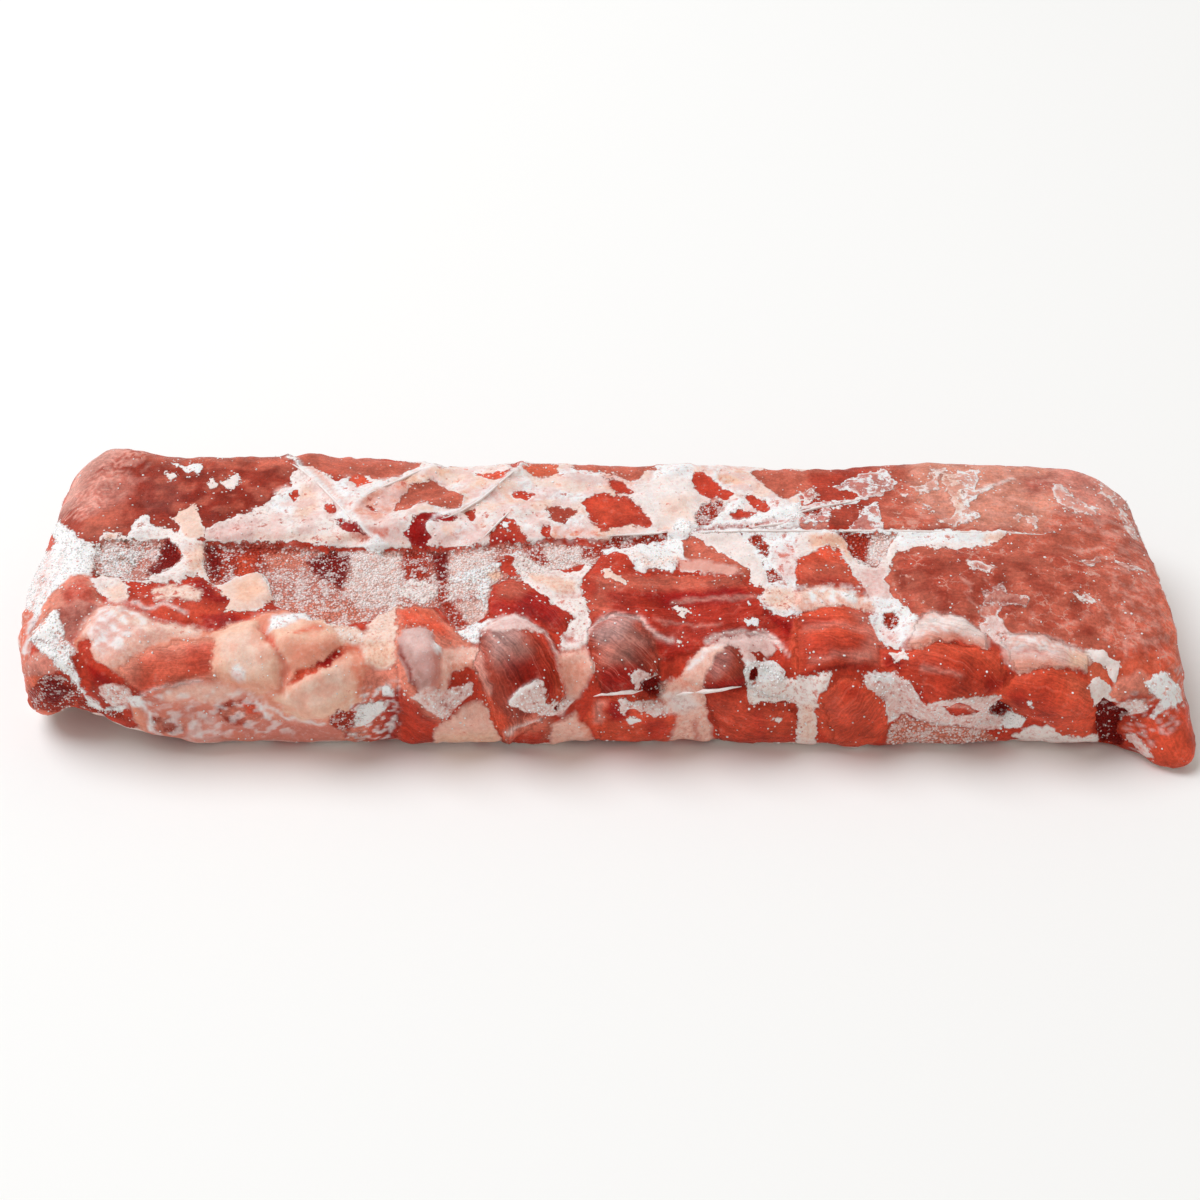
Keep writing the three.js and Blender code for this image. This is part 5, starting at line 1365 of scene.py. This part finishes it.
# Sawn bone: grains about a millimetre wide, from marrow red to iced white.
GRAIN_MM = 1.1
DRIFT_MM = 4.2
grains = node(CELLS, {}, {"Vector": where, "Scale": 1 / (GRAIN_MM * MM)})
grain_kind = node(CHANNELS, {}, {0: grains.outputs["Color"]})
drift = node(NOISE, {}, {"Vector": where, "Scale": 1 / (DRIFT_MM * MM), "Detail": 5.0, "Roughness": 0.68})
icy = node(MATH, MULTIPLY_ADD, {0: drift, 1: 4.4, 2: node(MATH, SUBTRACT, {0: amount_of["frost"], 1: 2.5})})
icy = node(MATH, SUBTRACT, {0: icy, 1: node(MATH, MULTIPLY, {0: grain_kind.outputs[0], 1: 0.9})})
icy = node(MAP, SMOOTH, {0: icy, 1: -0.1, 2: 0.14, 3: 0.0, 4: 0.95})
# Each grain is painted lighter in its middle and darker towards its rim, painted shade that rounds it and
# darkens the gaps between grains.
grain_core = node(MAP, SMOOTH, {0: grains, 1: 0.75, 2: 0.4, 3: 0.5, 4: 1.0})
icy = node(MATH, MULTIPLY, {0: icy, 1: grain_core})
grain_level = node(MAP, SMOOTH, {0: grains, 1: 0.1, 2: 0.75, 3: 1.2, 4: 0.7})
bed = node(VECTOR, BY_LEVEL, {0: colour_of["bed_tone"], "Scale": grain_level})
ice_part = node(MATH, MULTIPLY_ADD, {0: amount_of["frost"], 1: 0.5, 2: 0.42})
pink_ice = node(MIX, COLOUR, {0: ice_part, 6: colour_of["bed_tone"], 7: ICE})
bed = node(MIX, COLOUR, {0: icy, 6: bed, 7: pink_ice})

# Skin and fat: cloudy, red where the skin is thin, grainy where it is iced, whiter along a torn edge.
CLOUD_MM = 4.0
PATCH_MM = 6.0
ICED_MM = 1.6
cloud = node(NOISE, {}, {"Vector": where, "Scale": 1 / (CLOUD_MM * MM), "Detail": 6.0, "Roughness": 0.68})
cloud_level = node(MAP, SMOOTH, {0: cloud, 1: 0.25, 2: 0.75, 3: 0.9, 4: 1.07})
pale_level = node(MATH, MULTIPLY_ADD, {0: strand, 1: 0.35, 2: cloud_level})
pale = node(VECTOR, BY_LEVEL, {0: colour_of["pale_tone"], "Scale": pale_level})
skin = node(MAP, SMOOTH, {0: edge_width, 1: 0.3, 2: 0.6, 3: 1.0, 4: 0.0})
thin_patch = node(NOISE, {}, {"Vector": where, "Scale": 1 / (PATCH_MM * MM), "Detail": 5.0, "Roughness": 0.6})
thin_patch = node(MAP, SMOOTH, {0: thin_patch, 1: 0.5, 2: 0.8, 3: 0.0, 4: 0.3})
pale = node(MIX, COLOUR, {0: node(MATH, MULTIPLY, {0: thin_patch, 1: skin}), 6: pale, 7: THIN_SKIN})
iced = node(NOISE, {}, {"Vector": where, "Scale": 1 / (ICED_MM * MM), "Detail": 5.0, "Roughness": 0.7})
iced = node(MATH, MULTIPLY_ADD, {0: amount_of["frost"], 1: 0.12, 2: iced})
white_part = node(MAP, SMOOTH, {0: iced, 1: 0.53, 2: 0.7, 3: 0.0, 4: 1.0})
white_most = node(MATH, MULTIPLY_ADD, {0: amount_of["frost"], 1: 0.9, 2: 0.12})
pale = node(MIX, COLOUR, {0: node(MATH, MULTIPLY, {0: white_part, 1: white_most}), 6: pale, 7: ICE})
dark_part = node(MAP, SMOOTH, {0: iced, 1: 0.54, 2: 0.42, 3: 0.0, 4: 1.0})
dark_part = node(MATH, MULTIPLY, {0: dark_part, 1: amount_of["frost"]})
pale = node(MIX, COLOUR, {0: dark_part, 6: pale, 7: lean})
thin_part = node(MATH, MULTIPLY_ADD, {0: amount_of["thinness"], 1: 0.25, 2: cloud})
thin_part = node(MAP, SMOOTH, {0: thin_part, 1: 0.64, 2: 0.73, 3: 0.0, 4: 0.9})
pale = node(MIX, COLOUR, {0: thin_part, 6: pale, 7: lean})
torn_rim = node(MAP, SMOOTH, {0: pale_edge, 1: 0.1, 2: 1.3, 3: 0.95, 4: 0.0})
torn_rim = node(MATH, MULTIPLY, {0: torn_rim, 1: node(MATH, MULTIPLY, {0: skin, 1: net_here})})
pale = node(MIX, COLOUR, {0: torn_rim, 6: pale, 7: ICE})

# Frost: white specks under a millimetre across, thick where the slab is iced, and thin dust elsewhere.
SPECK_MM = 1.3
DUSTING_MM = 9.0
dust = node(CELLS, {}, {"Vector": where, "Scale": 1 / (SPECK_MM * MM)})
dust_kind = node(CHANNELS, {}, {0: dust.outputs["Color"]})
dusty = node(NOISE, {}, {"Vector": where, "Scale": 1 / (DUSTING_MM * MM), "Detail": 5.0, "Roughness": 0.75})
dusty = node(MAP, SMOOTH, {0: dusty, 1: 0.5, 2: 0.78, 3: 0.015, 4: 0.45})
dusty = node(MATH, MULTIPLY_ADD, {0: amount_of["frost"], 1: 0.22, 2: dusty})
speck = node(MATH, SUBTRACT, {0: dusty, 1: dust_kind.outputs[0]})
speck = node(MATH, SUBTRACT, {0: speck, 1: dust})
speck = node(MAP, SMOOTH, {0: speck, 1: -0.16, 2: -0.04, 3: 0.0, 4: 0.85})

colour = node(MIX, COLOUR, {0: bed_mask, 6: lean, 7: bed})
colour = node(MIX, COLOUR, {0: pale_mask, 6: colour, 7: pale})
colour = node(MIX, COLOUR, {0: speck, 6: colour, 7: ICE})

# Relief finer than the mesh: fibre lines, grains, the step at a torn edge, and specks.
grain_top = node(MAP, SMOOTH, {0: grains, 1: 0.0, 2: 0.9, 3: 0.7, 4: 0.0})
height = node(MATH, MULTIPLY_ADD, {0: strand, 1: 0.2, 2: node(MATH, MULTIPLY, {0: grain_top, 1: bed_mask})})
height = node(MATH, MULTIPLY_ADD, {0: pale_mask, 1: 0.3, 2: height})
height = node(MATH, MULTIPLY_ADD, {0: speck, 1: 0.25, 2: height})
height = node(MATH, MULTIPLY_ADD, {0: fine, 1: 0.25, 2: height})
height = node(MATH, MULTIPLY_ADD, {0: iced, 1: 0.3, 2: height})
relief = node("ShaderNodeBump", {}, {"Height": height, "Strength": 0.9, "Distance": 1.0 * MM})
gloss = node(MATH, MULTIPLY_ADD, {0: pale_mask, 1: 0.1, 2: 0.4})
gloss = node(MATH, MULTIPLY_ADD, {0: speck, 1: 0.2, 2: gloss})
surface = node("ShaderNodeBsdfPrincipled", {}, {
    "Base Color": colour, "Roughness": gloss, "Normal": relief, "IOR": 1.21,
    "Subsurface Weight": 0.12, "Subsurface Radius": (1.0, 0.35, 0.25), "Subsurface Scale": 2.0 * MM,
})
node("ShaderNodeOutputMaterial", {}, {"Surface": surface})

slab_mesh.materials.clear()
slab_mesh.materials.append(pork)
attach(slab, "root")
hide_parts("rib_slab")


# ---- Skin folds --------------------------------------------------------------
# Where the skin was drawn up it froze in thin raised folds, and a straight one follows the crease of the
# slab. They are silver skin like that round them, about half a millimetre high, and half sunk in it.

slab_surface = BVHTree.FromPolygons([vertex.co for vertex in slab_mesh.vertices],
                                    [tuple(polygon.vertices) for polygon in slab_mesh.polygons])


def under_pixel(pixel):
    """The point of the slab that is seen at a pixel of the photograph, and how its surface faces there."""
    across = (pixel[0] / PHOTO_SIDE - 0.5) * SENSOR / LENS
    above = (0.5 - pixel[1] / PHOTO_SIDE) * SENSOR / LENS
    ray = forward + above * upward + np.array([across, 0, 0])
    hit, facing_there, _, _ = slab_surface.ray_cast(Vector(eye), Vector(ray))
    return hit, facing_there


def lay_along(name, lines, half_width, widest_at, sunk):
    """Tapered round strips laid over the slab along lines of pixels. Their middle lies below its surface by
    the part sunk of their half width, or above it where sunk is less than 0."""
    drawn = bpy.data.curves.new(name, "CURVE")
    drawn.dimensions = "3D"
    drawn.bevel_depth = half_width
    drawn.bevel_resolution = 2
    drawn.use_fill_caps = True
    for line in lines:
        strip = drawn.splines.new("POLY")
        strip.points.add(len(line) - 1)
        for i, pixel in enumerate(line):
            hit, facing_there = under_pixel(pixel)
            strip.points[i].co = (*(hit - sunk * half_width * facing_there), 1.0)
            part = i / (len(line) - 1)
            nearness = part / widest_at if part < widest_at else (1 - part) / (1 - widest_at + 0.001)
            strip.points[i].radius = 0.12 + 0.88 * min(nearness, 1.0) ** 0.7
    source = bpy.data.objects.new(name, drawn)
    bpy.context.scene.collection.objects.link(source)
    mesh = bpy.data.meshes.new_from_object(source.evaluated_get(bpy.context.evaluated_depsgraph_get()))
    bpy.data.objects.remove(source)
    mesh.name = name
    for polygon in mesh.polygons:
        polygon.use_smooth = True
    laid = bpy.data.objects.new(name, mesh)
    bpy.context.scene.collection.objects.link(laid)
    return laid


FOLD_HALF_WIDTH = 0.55 * MM
folds = {
    "left fold": [(288, 462), (294, 465), (303, 471), (320, 485), (335, 501), (350, 517), (366, 532),
                  (380, 543)],
    "middle fold": [(438, 467), (424, 469), (412, 474), (400, 480), (385, 486), (366, 495), (354, 508)],
    "right fold": [(432, 521), (448, 517), (462, 511), (480, 500), (492, 490), (502, 481), (513, 472),
                   (521, 467)],
    "low fold": [(482, 539), (492, 529), (502, 519), (512, 509)],
    "crease": [(692, 533), (742, 531), (800, 531), (850, 531), (900, 531), (960, 532), (1010, 533),
               (1050, 535)],
    "short crease": [(606, 536), (626, 535), (648, 534), (668, 532)],
    "bar": [(760, 523), (790, 515), (820, 507), (850, 502), (878, 494)],
    "second bar": [(744, 528), (780, 524), (812, 516)],
}
skin_folds = lay_along("skin_folds", folds.values(), FOLD_HALF_WIDTH, 0.5, 0.1)

# Frozen silver skin: nearly white with a trace of rose, and smooth.
ROSY_MM = 2.0
silver_skin = bpy.data.materials.new("frozen_silver_skin")
silver_skin.use_nodes = True
tree = silver_skin.node_tree
tree.nodes.clear()
where = node("ShaderNodeTexCoord", {}, {}).outputs["Object"]
cloud = node(NOISE, {}, {"Vector": where, "Scale": 1 / (ROSY_MM * MM), "Detail": 4.0, "Roughness": 0.6})
rosy = node(MAP, SMOOTH, {0: cloud, 1: 0.35, 2: 0.65, 3: 0.0, 4: 0.6})
skin_colour = node(MIX, COLOUR, {0: rosy, 6: ICE, 7: (*linear(FILM), 1.0)})
surface = node("ShaderNodeBsdfPrincipled", {}, {"Base Color": skin_colour, "Roughness": 0.45, "IOR": 1.3})
node("ShaderNodeOutputMaterial", {}, {"Surface": surface})
skin_folds.data.materials.append(silver_skin)
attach(skin_folds, "root")


# ---- Ice slivers -------------------------------------------------------------
# Long thin blades of ice lie under the third and across the fourth knuckle, where water ran down and froze.
# They are clear white ice, pointed at one end, and frozen to the meat along their length.

SLIVER_HALF_WIDTH = 0.9 * MM
slivers = {
    "left": [(594, 696), (602, 694), (612, 693), (622, 692), (632, 691), (642, 690)],
    "right": [(741, 686), (732, 687), (722, 689), (712, 690), (704, 691), (696, 692)],
    "short": [(676, 695), (684, 693), (694, 692)],
}
ice_slivers = lay_along("ice_slivers", slivers.values(), SLIVER_HALF_WIDTH, 0.8, -0.3)
ice_slivers.data.materials.append(silver_skin)
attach(ice_slivers, "root")


# ---- Ice grains --------------------------------------------------------------
# Loose grains of frost and sawn bone have frozen on: thick in the planed bone, the pits and the frost, and
# thin elsewhere. Each is a lump of ice half a millimetre to a millimetre wide, stuck fast, white or stained
# pink.

GRAIN_COUNT = 6500
GRAIN_SMALLEST_MM = 0.18
GRAIN_LARGEST_MM = 0.46
GRAIN_ROOM = 0.9 * MM
grain_luck = np.random.default_rng(61)
slab_mesh.vertices.foreach_get("normal", normal.ravel())
in_bone = steps(bed_depth, -0.5, 1.0) * shown
in_frost = steps(pale_depth, -0.5, 1.0) * steps(frost, 0.45, 0.9) * shown
crowding = 0.006 + 1.2 * in_bone * frost**2 + 0.5 * in_frost
roomy = np.all((place > low + GRAIN_ROOM) & (place < high - GRAIN_ROOM), axis=1)
crowding *= roomy
chosen = grain_luck.choice(count, GRAIN_COUNT, p=crowding / crowding.sum())
bm = bmesh.new()
bmesh.ops.create_icosphere(bm, subdivisions=1, radius=1.0)
bm.verts.ensure_lookup_table()
grain_points = np.array([vert.co for vert in bm.verts])
grain_faces = np.array([[vert.index for vert in face.verts] for face in bm.faces])
bm.free()
size = MM * grain_luck.uniform(GRAIN_SMALLEST_MM, GRAIN_LARGEST_MM, (GRAIN_COUNT, 1, 1))
squash = grain_luck.uniform(0.6, 1.3, (GRAIN_COUNT, 1, 3))
rough = grain_luck.uniform(0.8, 1.2, (GRAIN_COUNT, len(grain_points), 1))
jitter = grain_luck.normal(0, 0.35 * MM, (GRAIN_COUNT, 3))
jitter -= (jitter * normal[chosen]).sum(axis=1, keepdims=True) * normal[chosen]
centre = place[chosen] + jitter + normal[chosen] * 0.06 * MM
all_points = (centre[:, None] + grain_points[None] * size * squash * rough).reshape(-1, 3)
first_of = np.arange(GRAIN_COUNT)[:, None, None] * len(grain_points)
all_faces = (grain_faces[None] + first_of).reshape(-1, 3)
grain_mesh = bpy.data.meshes.new("ice_grains")
grain_mesh.from_pydata(all_points.tolist(), [], all_faces.tolist())
whiteness = grain_luck.uniform(0.1, 0.9, GRAIN_COUNT)[:, None] ** (0.3 + 0.6 * in_bone[chosen][:, None])
stain = np.where(in_bone[chosen][:, None] > 0.5, 0.5 * (bed_tone[chosen] + tone(RIME)), tone(SNOW))
grain_colour = stain + whiteness * (tone(SNOW) - stain)
grain_colour = np.repeat(np.hstack([grain_colour, np.ones((GRAIN_COUNT, 1))]), len(grain_points), axis=0)
grain_tone = grain_mesh.attributes.new("grain_tone", "FLOAT_COLOR", "POINT")
grain_tone.data.foreach_set("color", grain_colour.astype(np.float32).ravel())
ice_grains = bpy.data.objects.new("ice_grains", grain_mesh)
bpy.context.scene.collection.objects.link(ice_grains)

# Grains of ice: white to pink, catching the light on their small faces.
grain_ice = bpy.data.materials.new("stained_ice_grains")
grain_ice.use_nodes = True
tree = grain_ice.node_tree
tree.nodes.clear()
ice_colour = node(ATTRIBUTE, {"attribute_name": "grain_tone"}, {}).outputs["Color"]
surface = node("ShaderNodeBsdfPrincipled", {}, {"Base Color": ice_colour, "Roughness": 0.35, "IOR": 1.31})
node("ShaderNodeOutputMaterial", {}, {"Surface": surface})
grain_mesh.materials.append(grain_ice)
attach(ice_grains, "root")


# ---- Floor and light ---------------------------------------------------------
# A plain pale table, and the soft light of a studio: a big lamp above at the left, and white walls all round.

FLOOR_SIZE = 6.0
FLOOR_ROUGHNESS = 0.9
WALL_LIGHT = 0.475
LAMP_SIZE = 3.0
LAMP_POWER = 131.5
LAMP_PLACE = (-1.9, 0.8, 3.4)
bm = bmesh.new()
bmesh.ops.create_grid(bm, x_segments=1, y_segments=1, size=FLOOR_SIZE / 2)
floor_mesh = bpy.data.meshes.new("floor")
bm.to_mesh(floor_mesh)
bm.free()
floor = bpy.data.objects.new("floor", floor_mesh)
bpy.context.scene.collection.objects.link(floor)
table_top = bpy.data.materials.new("matt_white_board")
table_top.use_nodes = True
board = table_top.node_tree.nodes["Principled BSDF"]
board.inputs["Base Color"].default_value = (*linear("#f7f6f4"), 1.0)
board.inputs["Roughness"].default_value = FLOOR_ROUGHNESS
floor_mesh.materials.append(table_top)

world = bpy.data.worlds.new("white_room")
world.use_nodes = True
walls = world.node_tree.nodes["Background"]
walls.inputs["Color"].default_value = (*linear("#fffaf3"), 1.0)
walls.inputs["Strength"].default_value = WALL_LIGHT
bpy.context.scene.world = world

lamp = bpy.data.objects.new("soft_box", bpy.data.lights.new("soft_box", "AREA"))
lamp.data.shape = "DISK"
lamp.data.size = LAMP_SIZE
lamp.data.energy = LAMP_POWER
lamp.data.color = linear("#f4f9ff")
lamp.location = LAMP_PLACE
lamp.rotation_euler = (Vector((0, 0, 0)) - lamp.location).to_track_quat("-Z", "Y").to_euler()
bpy.context.scene.collection.objects.link(lamp)
bpy.context.scene.view_settings.view_transform = "Standard"
